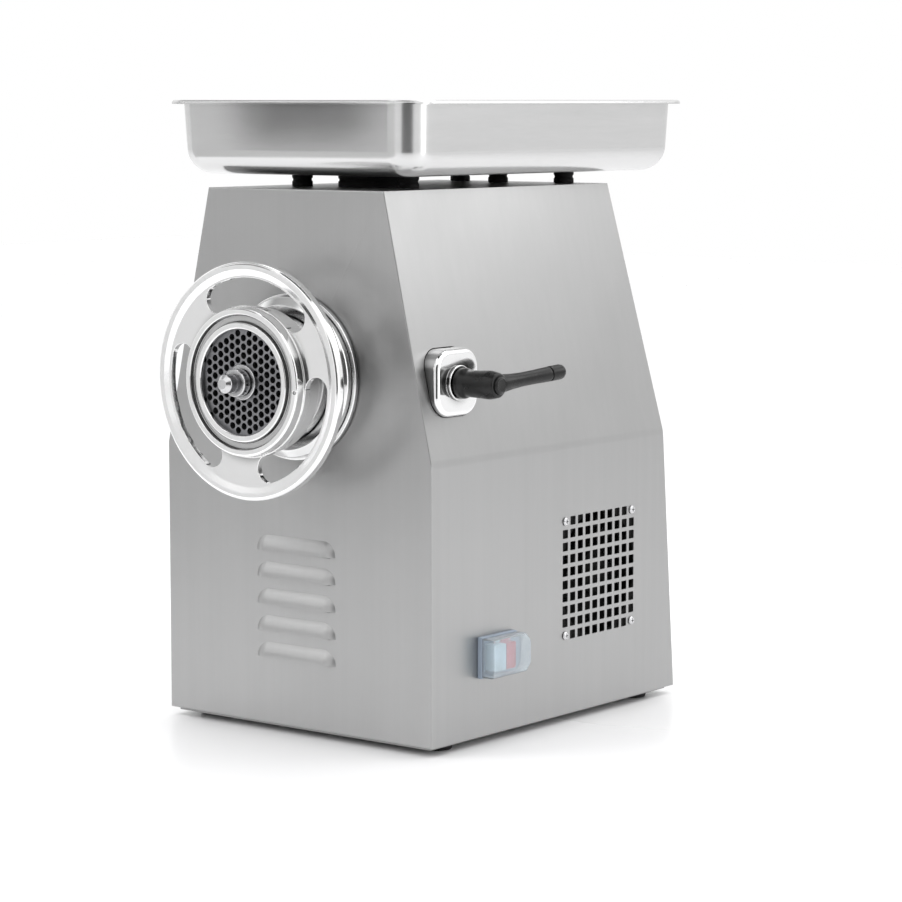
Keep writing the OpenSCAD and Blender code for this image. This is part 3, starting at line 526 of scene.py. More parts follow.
def handling_group():
    """Broad soft patches where a surface was wiped and handled."""
    group, source, sink = new_group(
        "Handling",
        [("Vector", "NodeSocketVector", None), ("Scale", "NodeSocketFloat", 8.0)],
        [("Patches", "NodeSocketFloat"), ("Specks", "NodeSocketFloat")])
    patches = noise_in(group, source.outputs["Vector"], source.outputs["Scale"], 2.0)
    specks = noise_in(group, source.outputs["Vector"], 900.0, 1.0)
    group.links.new(spread(group, patches, 0.35, 0.65), sink.inputs["Patches"])
    group.links.new(spread(group, specks, 0.66, 0.74), sink.inputs["Specks"])
    return group


def grain_group():
    """Pebbled grain of a casting or a moulding."""
    group, source, sink = new_group(
        "Grain",
        [("Vector", "NodeSocketVector", None), ("Scale", "NodeSocketFloat", 600.0)],
        [("Height", "NodeSocketFloat"), ("Pits", "NodeSocketFloat")])
    pebbles = node(group, "ShaderNodeTexVoronoi", feature="SMOOTH_F1")
    group.links.new(source.outputs["Vector"], pebbles.inputs["Vector"])
    group.links.new(source.outputs["Scale"], pebbles.inputs["Scale"])
    rough = noise_in(group, source.outputs["Vector"], source.outputs["Scale"], 3.0)
    group.links.new(sum_of(group, pebbles.outputs["Distance"], rough), sink.inputs["Height"])
    group.links.new(spread(group, rough, 0.3, 0.7), sink.inputs["Pits"])
    return group


def turning_group():
    """Rings that a lathe leaves round an axis through the origin of its vector."""
    group, source, sink = new_group(
        "Turning",
        [("Vector", "NodeSocketVector", None), ("Pitch", "NodeSocketFloat", 900.0)],
        [("Rings", "NodeSocketFloat"), ("Height", "NodeSocketFloat")])
    length = node(group, "ShaderNodeVectorMath", operation="LENGTH")
    group.links.new(source.outputs["Vector"], length.inputs[0])
    spaced = sum_of(group, length.outputs["Value"], source.outputs["Pitch"], "MULTIPLY")
    line = node(group, "ShaderNodeCombineXYZ")
    group.links.new(spaced, line.inputs["X"])
    rings = noise_in(group, line.outputs[0], 1.0, 3.0, 0.7)
    group.links.new(spread(group, rings, 0.3, 0.7), sink.inputs["Rings"])
    group.links.new(rings, sink.inputs["Height"])
    return group


GROUPS = {}


def group_named(name):
    """One shared shader group, made the first time it is asked for."""
    makers = {"Brushing": brushing_group, "Handling": handling_group, "Grain": grain_group,
              "Turning": turning_group}
    if name not in GROUPS:
        GROUPS[name] = makers[name]()
    return GROUPS[name]


# ---- Materials ----


MIX_FIRST, MIX_SECOND, MIX_RESULT = 6, 7, 2   # colour sockets of a mix node


class Finish:
    """A material being made: its Principled shader, its object coordinates and short ways to link them."""

    def __init__(self, name, colour, metallic, roughness):
        self.material = bpy.data.materials.new(name)
        self.material.use_nodes = True
        self.tree = self.material.node_tree
        self.shader = self.tree.nodes["Principled BSDF"]
        self.place = node(self.tree, "ShaderNodeTexCoord").outputs["Object"]
        self.shader.inputs["Base Color"].default_value = colour
        self.shader.inputs["Metallic"].default_value = metallic
        self.shader.inputs["Roughness"].default_value = roughness
        self.material.diffuse_color = colour

    def centred(self, point, scale=(1, 1, 1)):
        """Object coordinates measured from a point."""
        mapping = node(self.tree, "ShaderNodeMapping")
        mapping.inputs["Location"].default_value = [-p * s for p, s in zip(point, scale)]
        mapping.inputs["Scale"].default_value = scale
        self.tree.links.new(self.place, mapping.inputs["Vector"])
        return mapping.outputs["Vector"]

    def group(self, name, vector=None, **values):
        made = node(self.tree, "ShaderNodeGroup", node_tree=group_named(name))
        self.tree.links.new(vector or self.place, made.inputs["Vector"])
        for key, value in values.items():
            made.inputs[key].default_value = value
        return made.outputs

    def shades(self, mask, dark, light):
        """Runs the base colour from dark to light along a mask."""
        mix = node(self.tree, "ShaderNodeMix", data_type="RGBA")
        mix.inputs[MIX_FIRST].default_value = dark
        mix.inputs[MIX_SECOND].default_value = light
        self.tree.links.new(mask, mix.inputs[0])
        self.tree.links.new(mix.outputs[MIX_RESULT], self.shader.inputs["Base Color"])

    def painted_crevice_shade(self, reach):
        """Painted shade: an ambient-occlusion mask, 0 deep in a groove or a gap and 1 on open faces, that
        darkens the base colour where shade falls.
        """
        gaps = node(self.tree, "ShaderNodeAmbientOcclusion", samples=12)
        gaps.inputs["Distance"].default_value = reach
        return spread(self.tree, gaps.outputs["AO"], 0.45, 0.92)

    def gloss(self, mask, low, high):
        """Runs the roughness from low to high along a mask."""
        made = node(self.tree, "ShaderNodeMapRange")
        made.inputs["To Min"].default_value = low
        made.inputs["To Max"].default_value = high
        self.tree.links.new(mask, made.inputs["Value"])
        self.tree.links.new(made.outputs["Result"], self.shader.inputs["Roughness"])

    def relief(self, height, strength, distance):
        bump = node(self.tree, "ShaderNodeBump")
        bump.inputs["Strength"].default_value = strength
        bump.inputs["Distance"].default_value = distance
        self.tree.links.new(height, bump.inputs["Height"])
        self.tree.links.new(bump.outputs["Normal"], self.shader.inputs["Normal"])


def toned(colour, factor):
    """A colour made darker or lighter."""
    return (*[min(1, c * factor) for c in colour[:3]], 1)


def brushed_steel(name, colour, stretch, roughness=0.34):
    finish = Finish(name, colour, 1, roughness)
    streaks = finish.group("Brushing", Stretch=stretch)
    patches = finish.group("Handling", Scale=7.0)
    finish.shades(streaks["Streaks"], toned(colour, 0.975), toned(colour, 1.025))
    finish.gloss(patches["Patches"], roughness - 0.03, roughness + 0.04)
    finish.relief(streaks["Height"], 0.06, 0.00003)
    return finish.material


def tray_steel(colour):
    finish = Finish("tray_steel", colour, 1, 0.2)
    streaks = finish.group("Brushing", Stretch=(60, 60, 900))
    patches = finish.group("Handling", Scale=9.0)
    finish.shades(streaks["Streaks"], toned(colour, 0.95), toned(colour, 1.04))
    finish.gloss(patches["Patches"], 0.18, 0.23)
    finish.relief(streaks["Height"], 0.03, 0.00002)
    return finish.material


def polished_steel(name, colour, roughness, centre, scale=(1, 0, 1)):
    finish = Finish(name, colour, 1, roughness)
    rings = finish.group("Turning", finish.centred(centre, scale), Pitch=1400.0)
    patches = finish.group("Handling", Scale=22.0)
    # painted shade: the base colour falls to 0.16 of its tone in grooves, slots and gaps, standing in for
    # their shade
    finish.shades(finish.painted_crevice_shade(12 * MM), toned(colour, 0.16), colour)
    worn = sum_of(finish.tree, rings["Rings"], patches["Patches"], "MULTIPLY")
    finish.gloss(worn, roughness * 0.8, roughness * 1.25)
    finish.relief(rings["Height"], 0.03, 0.00002)
    return finish.material


def frosted_steel(name):
    """The blasted steel of small turned fittings."""
    return polished_steel(name, (0.62, 0.62, 0.63, 1), 0.26, (0, 0, HEAD_Z))


def ground_steel(name, colour, centre):
    finish = Finish(name, colour, 1, 0.38)
    rings = finish.group("Turning", finish.centred(centre, (1, 0, 1)), Pitch=2600.0)
    finish.shades(rings["Rings"], toned(colour, 0.85), toned(colour, 1.12))
    finish.gloss(rings["Rings"], 0.32, 0.46)
    finish.relief(rings["Height"], 0.08, 0.00003)
    return finish.material


def cast_metal(name, colour, roughness=0.48, metallic=1.0, scale=420.0):
    finish = Finish(name, colour, metallic, roughness)
    grain = finish.group("Grain", Scale=scale)
    finish.shades(grain["Pits"], toned(colour, 0.82), toned(colour, 1.08))
    finish.gloss(grain["Pits"], roughness + 0.08, roughness - 0.05)
    finish.relief(grain["Height"], 0.35, 0.0003)
    return finish.material


def moulded(name, colour, roughness=0.42, scale=1500.0, depth=0.00006, specular=0.5):
    finish = Finish(name, colour, 0, roughness)
    finish.shader.inputs["Specular IOR Level"].default_value = specular
    grain = finish.group("Grain", Scale=scale)
    patches = finish.group("Handling", Scale=30.0)
    finish.shades(patches["Patches"], toned(colour, 0.9), toned(colour, 1.15))
    finish.gloss(patches["Patches"], roughness - 0.04, roughness + 0.06)
    finish.relief(grain["Height"], 0.25, depth)
    return finish.material


def silicone(colour):
    finish = Finish("frosted_silicone", colour, 0, 0.2)
    finish.shader.inputs["Transmission Weight"].default_value = 0.82
    finish.shader.inputs["IOR"].default_value = 1.18
    grain = finish.group("Grain", Scale=900.0)
    patches = finish.group("Handling", Scale=60.0)
    finish.shades(patches["Patches"], toned(colour, 0.94), toned(colour, 1.0))
    finish.gloss(patches["Patches"], 0.12, 0.22)
    finish.relief(grain["Height"], 0.1, 0.00003)
    return finish.material


# ---- Casing ----


def lean(item):
    """Cuts a casing piece to the sloping sides above the crease."""
    sizes = bpy.context.scene.grinder_sizes
    crease_z = BASE_Z + sizes.crease
    for side in (-1, 1):
        edit(item)
        bpy.ops.mesh.select_all(action="SELECT")
        rise, inward = TOP_Z - crease_z, SIDE_X - TOP_HALF
        bpy.ops.mesh.bisect(
            plane_co=(side * SIDE_X, 0, crease_z), plane_no=(side * rise, 0, inward),
            use_fill=True, clear_outer=True)
        leave()
    return item


LOUVRE_SHEET = 1.1 * MM   # the sheet is drawn thinner in a hood
SLIT_HIGH = 7 * MM
SLIT_END = 6 * MM         # from a slit's end to its hood's end


def make_louvre(z, sizes):
    """One pressed hood, open at the bottom, that stands out of the front panel."""
    out = FRONT_Y - LOUVRE_FRONT
    radius = (sizes.louvre_hood ** 2 + out ** 2) / (2 * out)
    half = sizes.louvre_width / 2 - sizes.louvre_hood
    take()
    bpy.ops.mesh.primitive_uv_sphere_add(
        segments=64, ring_count=48, radius=radius,
        location=(0, LOUVRE_FRONT + radius, z), rotation=(0, math.pi / 2, 0))
    hood = settle("louvre")
    edit(hood)
    for side in (-1, 1):
        pick(hood, "VERT", lambda v: v.co.x * side > 0.00001)
        bpy.ops.transform.translate(value=(side * half, 0, 0))
    for point, normal in (((0, FRONT_Y + SHEET / 2, z), (0, 1, 0)), ((0, 0, z), (0, 0, -1))):
        bpy.ops.mesh.select_all(action="SELECT")
        bpy.ops.mesh.bisect(plane_co=point, plane_no=normal, clear_outer=True)
    face_outward()
    leave()
    modify(hood, "SOLIDIFY", thickness=LOUVRE_SHEET, offset=-1)
    return hood


def make_front(sizes):
    panel = lean(block("front_sheet", (-SIDE_X, FRONT_Y, BASE_Z), (SIDE_X, FRONT_Y + SHEET, TOP_Z)))
    inside = FRONT_Y + 2 * SHEET
    combine(panel, rod("hole", FRONT_HOLE_R, (0, FRONT_Y - CUT, HEAD_Z), (0, inside, HEAD_Z)))

    def on_rim(edge):
        """True for an edge round the panel's face, and not round its hole."""
        corner = edge.verts[0].co
        at_hole = near(corner.x ** 2 + (corner.z - HEAD_Z) ** 2, FRONT_HOLE_R ** 2, 0.0002)
        return lies(edge, 1, FRONT_Y) and not at_hole

    round_edges(panel, on_rim, 1.2 * MM, 4)
    rows = [BASE_Z + sizes.louvre_height + i * sizes.louvre_pitch for i in range(sizes.louvres)]
    half = sizes.louvre_width / 2 - SLIT_END
    for z in rows:
        combine(panel, block("slit", (-half, FRONT_Y - CUT, z - CUT), (half, inside, z + SLIT_HIGH)))
    for z in rows:
        combine(panel, make_louvre(z, sizes), "UNION")
    return soften(panel, 0.35 * MM, 28)


def make_side(sizes, side):
    """One side wall with its crease and the leaning back edge."""
    crease_z = BASE_Z + sizes.crease
    wall = block("side_sheet", (SIDE_X - SHEET, FRONT_Y + SHEET, BASE_Z), (SIDE_X, BACK_Y, TOP_Z))
    edit(wall)
    bpy.ops.mesh.select_all(action="SELECT")
    bpy.ops.mesh.bisect(plane_co=(0, 0, crease_z), plane_no=(0, 0, 1))
    pick(wall, "VERT", lambda v: near(v.co.z, TOP_Z))
    bpy.ops.transform.translate(value=(TOP_HALF - SIDE_X, 0, 0))
    bpy.ops.mesh.select_all(action="SELECT")
    bpy.ops.mesh.bisect(
        plane_co=(0, BACK_Y, BASE_Z), plane_no=(0, TOP_Z - BASE_Z, BACK_Y - BACK_TOP_Y),
        use_fill=True, clear_outer=True)
    leave()
    if side < 0:
        edit(wall)
        bpy.ops.mesh.select_all(action="SELECT")
        bpy.ops.transform.mirror(
            constraint_axis=(True, False, False), orient_type="GLOBAL", center_override=(0, 0, 0))
        bpy.ops.mesh.normals_make_consistent(inside=False)
        leave()
    round_edges(wall, lambda e: runs(e, 1) and near(e.verts[0].co.z, crease_z)
                and near(abs(e.verts[0].co.x), SIDE_X), 4 * MM, 6)
    return wall


def grille_cutter(sizes):
    """The square holes of the fan grille as one cutter, without the four corner ones."""
    pitch = sizes.fan_screws / (sizes.grille_holes - 1)
    last = sizes.grille_holes - 1
    centre = (FAN_LOW + FAN_HIGH) / 2
    first = Vector((SIDE_X, centre.y - sizes.fan_screws / 2, centre.z - sizes.fan_screws / 2))
    reach = Vector((4 * CUT, sizes.grille_hole / 2, sizes.grille_hole / 2))
    hole = block("grille_hole", first - reach, first + reach)
    round_edges(hole, lambda e: runs(e, 0), 0.7 * MM, 3)
    shifts = [(0, i * pitch, j * pitch) for i in range(last + 1) for j in range(last + 1)
              if not (i in (0, last) and j in (0, last))]
    return repeated(hole, shifts)


SWITCH_INSET = 4.2 * MM   # from the switch plate's edge to the hole behind it


def make_right_side(sizes):
    """The right side wall with the grille, the switch's hole and the clamp boss's hole."""
    wall = make_side(sizes, 1)
    combine(wall, grille_cutter(sizes))
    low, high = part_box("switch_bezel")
    combine(wall, block("switch_hole", (SIDE_X - 9 * MM, low.y + SWITCH_INSET, low.z + SWITCH_INSET),
                        (SIDE_X + 9 * MM, high.y - SWITCH_INSET, high.z - SWITCH_INSET)))
    combine(wall, boss_blank("boss_hole", FLANGE_R, SIDE_X + 2 * CUT, sizes, 0.5 * MM))
    return soften(wall, 0.45 * MM, 28)


def boss_blank(name, start, end, sizes, gap=0.0):
    """The clamp boss's rounded square, from one station across the casing to another."""
    half = sizes.boss_side / 2 + gap
    item = block(name, (start, CLAMP_Y - half, HEAD_Z - half), (end, CLAMP_Y + half, HEAD_Z + half))
    round_edges(item, lambda e: runs(e, 0), sizes.boss_corner + gap, 10)
    return item


GLAND_R = 9 * MM


def make_rear():
    """The leaning rear sheet between the side walls, a hair narrower than the space between them."""
    half = SIDE_X - SHEET - 0.1 * MM
    panel = block("rear_sheet", (-half, BACK_Y - SHEET, BASE_Z), (half, BACK_Y, TOP_Z))
    edit(panel)
    pick(panel, "VERT", lambda v: near(v.co.z, TOP_Z))
    bpy.ops.transform.translate(value=(0, BACK_TOP_Y - BACK_Y, 0))
    crease_z = BASE_Z + bpy.context.scene.grinder_sizes.crease
    for side in (-1, 1):
        bpy.ops.mesh.select_all(action="SELECT")
        bpy.ops.mesh.bisect(
            plane_co=(side * half, 0, crease_z),
            plane_no=(side * (TOP_Z - crease_z), 0, SIDE_X - TOP_HALF), use_fill=True, clear_outer=True)
    leave()
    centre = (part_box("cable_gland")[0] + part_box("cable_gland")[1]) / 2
    through = Vector((0, 30 * MM, 2 * MM))
    combine(panel, rod("gland_hole", GLAND_R, centre - through, centre + through))
    return soften(panel, SHEET_EASE)


def make_top():
    """The top sheet with the hole for the head's neck, which the gasket covers."""
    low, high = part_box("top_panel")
    panel = block("top_sheet", low, high)
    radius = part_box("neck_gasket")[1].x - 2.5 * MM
    combine(panel, rod("neck_hole", radius, (0, INLET_Y, low.z - CUT), (0, INLET_Y, high.z + CUT)))
    return soften(panel, SHEET_EASE)


# ---- Tray ----


TRAY_HEM = 2.2 * MM   # how far the flange's edge is turned down
TRAY_HEM_R = 1.1 * MM


def widened(low, high, out):
    """Scale factors that move a box's four sides out by a distance."""
    span = high - low
    return Vector((1 + 2 * out / span.x, 1 + 2 * out / span.y, 1))


def make_tray(sizes):
    """The drawn bowl with its flange, a turned-down hem and the spout under its floor."""
    lip = sizes.tray_lip
    low = Vector((TRAY_LOW.x + lip, TRAY_LOW.y + lip, TRAY_Z))
    high = Vector((TRAY_HIGH.x - lip, TRAY_HIGH.y - lip, TRAY_HIGH.z - SHEET))
    tray = block("tray_sheet", low, high)
    edit(tray)
    pick(tray, "FACE", lambda f: f.normal.z > 0.9)
    bpy.ops.mesh.delete(type="ONLY_FACE")
    pick(tray, "VERT", lambda v: near(v.co.z, TRAY_Z))
    centre = (low + high) / 2
    bpy.ops.transform.resize(value=widened(low, high, -sizes.tray_draft), center_override=centre)
    pick(tray, "EDGE", lambda e: abs(e.verts[0].co.z - e.verts[1].co.z) > 0.03)
    bpy.ops.mesh.bevel(offset=sizes.tray_corner, segments=12, affect="EDGES")
    pick(tray, "EDGE", lambda e: lies(e, 2, TRAY_Z))
    bpy.ops.mesh.bevel(offset=sizes.tray_edge, segments=10, affect="EDGES")
    pick(tray, "EDGE", lambda e: lies(e, 2, high.z))
    bpy.ops.mesh.extrude_region_move()
    bpy.ops.transform.resize(value=widened(low, high, lip - SHEET), center_override=centre)
    bpy.ops.mesh.extrude_region_move(TRANSFORM_OT_translate={"value": (0, 0, -TRAY_HEM)})
    face_outward()
    leave()
    round_edges(tray, lambda e: lies(e, 2, high.z) and abs(e.calc_face_angle(0)) > 0.5, TRAY_HEM_R, 3)
    modify(tray, "SOLIDIFY", thickness=SHEET, offset=1)
    throat, top = sizes.throat_radius, TRAY_Z + SHEET * 0.9
    spout = spun("spout", "Z", (0, INLET_Y, 0), filleted([
        (throat, TRAY_LOW.z), (throat, top), (throat + SHEET, top), (throat + SHEET, TRAY_LOW.z),
        (throat, TRAY_LOW.z)]), 72)
    combine(tray, rod(
        "throat", throat + SHEET / 2, (0, INLET_Y, TRAY_Z - CUT), (0, INLET_Y, TRAY_Z + 5 * CUT)))
    combine(tray, spout, "UNION")
    return shade(tray, 42)


def make_gasket():
    """The rubber ring round the neck, with a groove round its outside."""
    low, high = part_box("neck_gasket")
    outer, groove, turn = high.x, high.x - 1.2 * MM, 0.5 * MM
    inner = outer - 3.3 * MM
    ring = spun("gasket_ring", "Z", (0, INLET_Y, 0), filleted([
        (inner, low.z), (outer, low.z), (outer, low.z + 4 * MM, turn), (groove, low.z + 6 * MM, turn),
        (outer, low.z + 8 * MM, turn), (outer, high.z), (inner, high.z), (inner, low.z)]), 72)
    return soften(ring, 0.4 * MM)


STUD_R = 9.5 * MM
STUD_GAP = 21 * MM   # between the last row of studs and the one before it


def make_supports():
    """The rubber studs that carry the tray, each with a waist."""
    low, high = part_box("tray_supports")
    radius = STUD_R
    stud = spun("stud", "Z", (0, 0, 0), filleted([
        (0, low.z), (radius, low.z, 0.5 * MM), (radius, low.z + 4 * MM, 0.8 * MM),
        (radius - 1.4 * MM, (low.z + high.z) / 2, 2 * MM), (radius, high.z - 4 * MM, 0.8 * MM),
        (radius, high.z, 0.5 * MM), (0, high.z)]), 40)
    x = high.x - radius
    places = [(s * x, y, 0) for s in (-1, 1) for y in (low.y + radius, high.y - radius)]
    places.append((0, high.y - radius - STUD_GAP, 0))
    return shade(repeated(stud, places))


# ---- Grinding head ----


def make_flange():
    """The polished collar on the front panel: a sloping front, a groove and a round back ring."""
    r, front, back = FLANGE_R, FLANGE_FRONT, FRONT_Y
    bore = BARREL_R + PLAY
    return shade(spun("flange_ring", "Y", (0, 0, HEAD_Z), filleted([
        (bore, back + SHEET), (bore, front, 0.8 * MM), (r - 10 * MM, front, 1.6 * MM),
        (r - 3 * MM, front + 6.5 * MM, 2.4 * MM), (r - 3 * MM, back - 8 * MM, 0.4 * MM),
        (r - 4.2 * MM, back - 7.4 * MM, 0.3 * MM), (r - 4.2 * MM, back - 6 * MM, 0.3 * MM),
        (r, back - 5 * MM, 1.6 * MM), (r, back, 0.8 * MM), (r - 14 * MM, back), (r - 14 * MM, back + SHEET),
        (bore, back + SHEET)]), 128), 30)


def at_angle(radius, degrees, y):
    """A point at a radius and an angle round the head's axis."""
    angle = math.radians(degrees)
    return Vector((radius * math.cos(angle), y, HEAD_Z + radius * math.sin(angle)))


WHEEL_STEP = 2.5              # degrees from one side of the turned wheel to the next
SLOT_MIDDLES = (82, 202, 322)
SLOT_HALF = 35                # degrees from a slot's middle to the centre of its round end
DIMPLE_R, DIMPLE_AT = 62 * MM, -5


def wheel_section(sizes, slot_in, slot_out):
    """Section of the ring nut, its web and its rim, from the inner lip round the rim to the bore."""
    front, back = WHEEL_FRONT, WHEEL_BACK
    lip, hub, bore = PLATE_R - 2.7 * MM, BARREL_R + 8.6 * MM, BARREL_R - 1.2 * MM
    rim_y, web, thick = front + sizes.rim_set_back, sizes.web_thickness / 2, sizes.rim_thickness / 2
    crest = WHEEL_R - sizes.rim_width / 2
    return filleted([
        (lip, PLATE_FRONT), (lip, front, 1.6 * MM), (lip + 5.6 * MM, front, 1.6 * MM),
        (lip + 6.8 * MM, front + 4.2 * MM, 0.8 * MM), (lip + 11.6 * MM, front + 4.2 * MM, 0.8 * MM),
        (lip + 12.8 * MM, front + 0.2 * MM, 1.2 * MM), (hub, front + 0.2 * MM, 2.2 * MM),
        (hub + 0.6 * MM, rim_y - web - 0.4 * MM, 1.6 * MM),
        ((slot_in + slot_out) / 2, rim_y - web, 30 * MM),
        (slot_out + 1.8 * MM, rim_y - web, 3 * MM), (crest, rim_y - thick, 4 * MM),
        (WHEEL_R, rim_y - thick, 3.6 * MM), (WHEEL_R, rim_y + thick, 3.6 * MM),
        (crest, rim_y + thick, 6 * MM),
        (slot_out + 1.5 * MM, rim_y + web, 4 * MM), (hub + 0.6 * MM, rim_y + web, 1.6 * MM),
        (hub - 1 * MM, back, 1.2 * MM), (bore, back), (bore, PLATE_FRONT), (lip, PLATE_FRONT)])


def slot_cutter(slot_in, slot_out, middle):
    """One curved slot with round ends, right through the wheel."""
    first, last = middle - SLOT_HALF, middle + SLOT_HALF
    front, back = WHEEL_FRONT - CUT, WHEEL_BACK + CUT
    radius, centre = (slot_out - slot_in) / 2, (slot_out + slot_in) / 2
    cutter = spun("slot", "Y", (0, 0, HEAD_Z), [
        (slot_in, front), (slot_out, front), (slot_out, back), (slot_in, back), (slot_in, front)],
        round(2 * SLOT_HALF / WHEEL_STEP), math.radians(2 * SLOT_HALF), math.radians(first))
    edit(cutter)
    bpy.ops.mesh.select_all(action="SELECT")
    bpy.ops.mesh.fill_holes(sides=0)
    bpy.ops.mesh.normals_make_consistent(inside=False)
    leave()
    for angle in (first, last):
        end = rod("slot_end", radius, at_angle(centre, angle, front), at_angle(centre, angle, back), 40)
        combine(cutter, end, "UNION")
    return cutter


def make_wheel(sizes):
    """The ring nut with its handwheel, turned in one piece and slotted three times."""
    slot_in, slot_out = BARREL_R + 10.4 * MM, WHEEL_R - sizes.rim_width - 1.0 * MM
    wheel = spun("wheel_turned", "Y", (0, 0, HEAD_Z), wheel_section(sizes, slot_in, slot_out),
                 round(360 / WHEEL_STEP), start=math.radians(SLOT_MIDDLES[0]))
    for middle in SLOT_MIDDLES:
        combine(wheel, slot_cutter(slot_in, slot_out, middle))
    combine(wheel, rod("dimple", 1.6 * MM, at_angle(DIMPLE_R, DIMPLE_AT, WHEEL_FRONT - CUT),
                       at_angle(DIMPLE_R, DIMPLE_AT, WHEEL_FRONT + 1.4 * MM), 24))
    modify(wheel, "BEVEL", width=0.5 * MM, segments=2, limit_method="ANGLE", angle_limit=math.radians(50),
           use_clamp_overlap=False)
    return shade(wheel, 50)


def make_plate():
    """The hole plate: the engineering model's holes with their rims eased."""
    return soften(copy_node("hole_plate"), 0.25 * MM, 40, 1)


def make_centre_nut():
    """Collar, neck and tip of the nut on the feed screw's pin."""
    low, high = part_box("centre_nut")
    collar, face, tip = high.x, high.y, low.y
    turned = spun("centre_turned", "Y", (0, 0, HEAD_Z), filleted([
        (0, tip), (4.6 * MM, tip, 1.4 * MM), (8.2 * MM, tip + 3.6 * MM, 1.4 * MM),
        (8.2 * MM, face - 16 * MM, 0.6 * MM), (7.2 * MM, face - 15 * MM, 0.4 * MM),
        (7.2 * MM, face - 13 * MM, 0.4 * MM), (11.6 * MM, face - 12.6 * MM, 0.9 * MM),
        (12.2 * MM, face - 11.6 * MM, 0.6 * MM), (12.2 * MM, face - 5 * MM, 0.8 * MM),
        (10.8 * MM, face - 4.4 * MM, 0.4 * MM), (10.8 * MM, face - 3.4 * MM, 0.4 * MM),
        (collar, face - 3 * MM, 0.8 * MM), (collar, face, 0.4 * MM), (0, face)]), 96)
    return shade(turned, 35)


# ---- Clamp ----


def make_boss(sizes):
    """The polished square boss with its heavy rounding and the screw's bore."""
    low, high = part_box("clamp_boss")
    boss = boss_blank("boss_block", low.x, high.x, sizes)
    round_edges(boss, lambda e: lies(e, 0, high.x), 4.5 * MM, 8)
    bore = SCREW_R - COLLAR_STEP + PLAY
    combine(boss, rod("boss_bore", bore, (low.x - CUT, CLAMP_Y, HEAD_Z), (high.x + CUT, CLAMP_Y, HEAD_Z)))
    return shade(boss, 35)


def make_washer():
    """The turned washer between the boss and the lever's hub."""
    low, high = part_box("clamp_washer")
    bore = SCREW_R - COLLAR_STEP + PLAY
    outer = high.z - HEAD_Z
    ring = spun("washer_ring", "X", (0, CLAMP_Y, HEAD_Z), filleted([
        (bore, low.x), (outer, low.x, 0.5 * MM), (outer, high.x, 0.9 * MM), (bore, high.x, 0.3 * MM),
        (bore, low.x)]), 72)
    return shade(ring, 35)


ARM_RISE = math.radians(5)
ARM_OUT = math.radians(10)
CAP_LENGTH = 17 * MM


def arm_place():
    """Start of the lever's arm on its hub, and the way that the arm points."""
    start = Vector((BUTTON_END - 10.5 * MM, CLAMP_Y, HEAD_Z))
    along = math.cos(ARM_OUT)
    return start, Vector((math.sin(ARM_OUT), along * math.cos(ARM_RISE), along * math.sin(ARM_RISE)))


def tapered(name, start, way, rings):
    """A round bar along a line, extruded ring by ring from (distance, radius) pairs, with closed ends."""
    turn = way.to_track_quat("Z", "Y")
    distance, radius = rings[0]
    take()
    bpy.ops.mesh.primitive_circle_add(
        vertices=48, radius=radius, location=start + way * distance, rotation=turn.to_euler(),
        fill_type="NGON")
    bar = settle(name)
    edit(bar)
    bpy.ops.mesh.select_all(action="SELECT")
    for there, wide in rings[1:]:
        bpy.ops.mesh.extrude_region_move(TRANSFORM_OT_translate={"value": way * (there - distance)})
        factor = wide / radius
        bpy.ops.transform.resize(value=(factor, factor, factor), center_override=start + way * there)
        distance, radius = there, wide
    face_outward()
    leave()
    return bar


def make_lever(sizes):
    """The moulded lever: a flared hub blended into its arm, hollow for the screw and the spring."""
    start, way = arm_place()
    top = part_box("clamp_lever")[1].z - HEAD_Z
    hub = spun("hub", "X", (0, CLAMP_Y, HEAD_Z), filleted([
        (0, HUB_X), (top - 0.6 * MM, HUB_X, 0.8 * MM), (top - 0.3 * MM, HUB_X + 5 * MM, 2 * MM),
        (top - 2.2 * MM, HUB_X + 9 * MM, 3 * MM), (top - 2.0 * MM, HUB_X + 20 * MM, 5 * MM),
        (12.6 * MM, HUB_X + 32 * MM, 5 * MM), (10.7 * MM, HUB_X + 41.4 * MM, 1.4 * MM),
        (0, HUB_X + 41.9 * MM)]), 64)
    arm = tapered("arm", start, way, [
        (0, 8.6 * MM), (12 * MM, 8.0 * MM), (22 * MM, 6.9 * MM), (34 * MM, 6.3 * MM), (48 * MM, 6.3 * MM),
        (60 * MM, 6.6 * MM), (sizes.arm_length - CAP_LENGTH, 6.75 * MM)])
    lever = combine(hub, arm, "UNION")
    modify(lever, "REMESH", mode="VOXEL", voxel_size=0.75 * MM)
    modify(lever, "SMOOTH", factor=0.5, iterations=14)
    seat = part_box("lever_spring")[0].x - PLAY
    holes = (("insert_hole", SCREW_R + PLAY, HUB_X - 3 * CUT, HUB_X + 22.4 * MM),
             ("stud_hole", 3.3 * MM, HUB_X, seat + CUT),
             ("pocket", 8 * MM, seat, HUB_X + 50 * MM))
    for name, radius, first, last in holes:
        combine(lever, rod(name, radius, (first, CLAMP_Y, HEAD_Z), (last, CLAMP_Y, HEAD_Z)))
    return shade(lever, 45)


def make_end_cap(sizes):
    """The separate cap at the arm's tip, with a thin joint before it."""
    start, way = arm_place()
    length = sizes.arm_length
    cap = tapered("cap", start, way, [
        (length - CAP_LENGTH, 6.0 * MM), (length - 16.6 * MM, 6.0 * MM),
        (length - 16.5 * MM, 6.6 * MM), (length - 15.9 * MM, 6.75 * MM),
        (length - 5 * MM, 6.75 * MM), (length - 2.4 * MM, 6.2 * MM), (length - 0.9 * MM, 5.0 * MM),
        (length - 0.2 * MM, 3.2 * MM), (length, 0.8 * MM)])
    return shade(cap, 50)


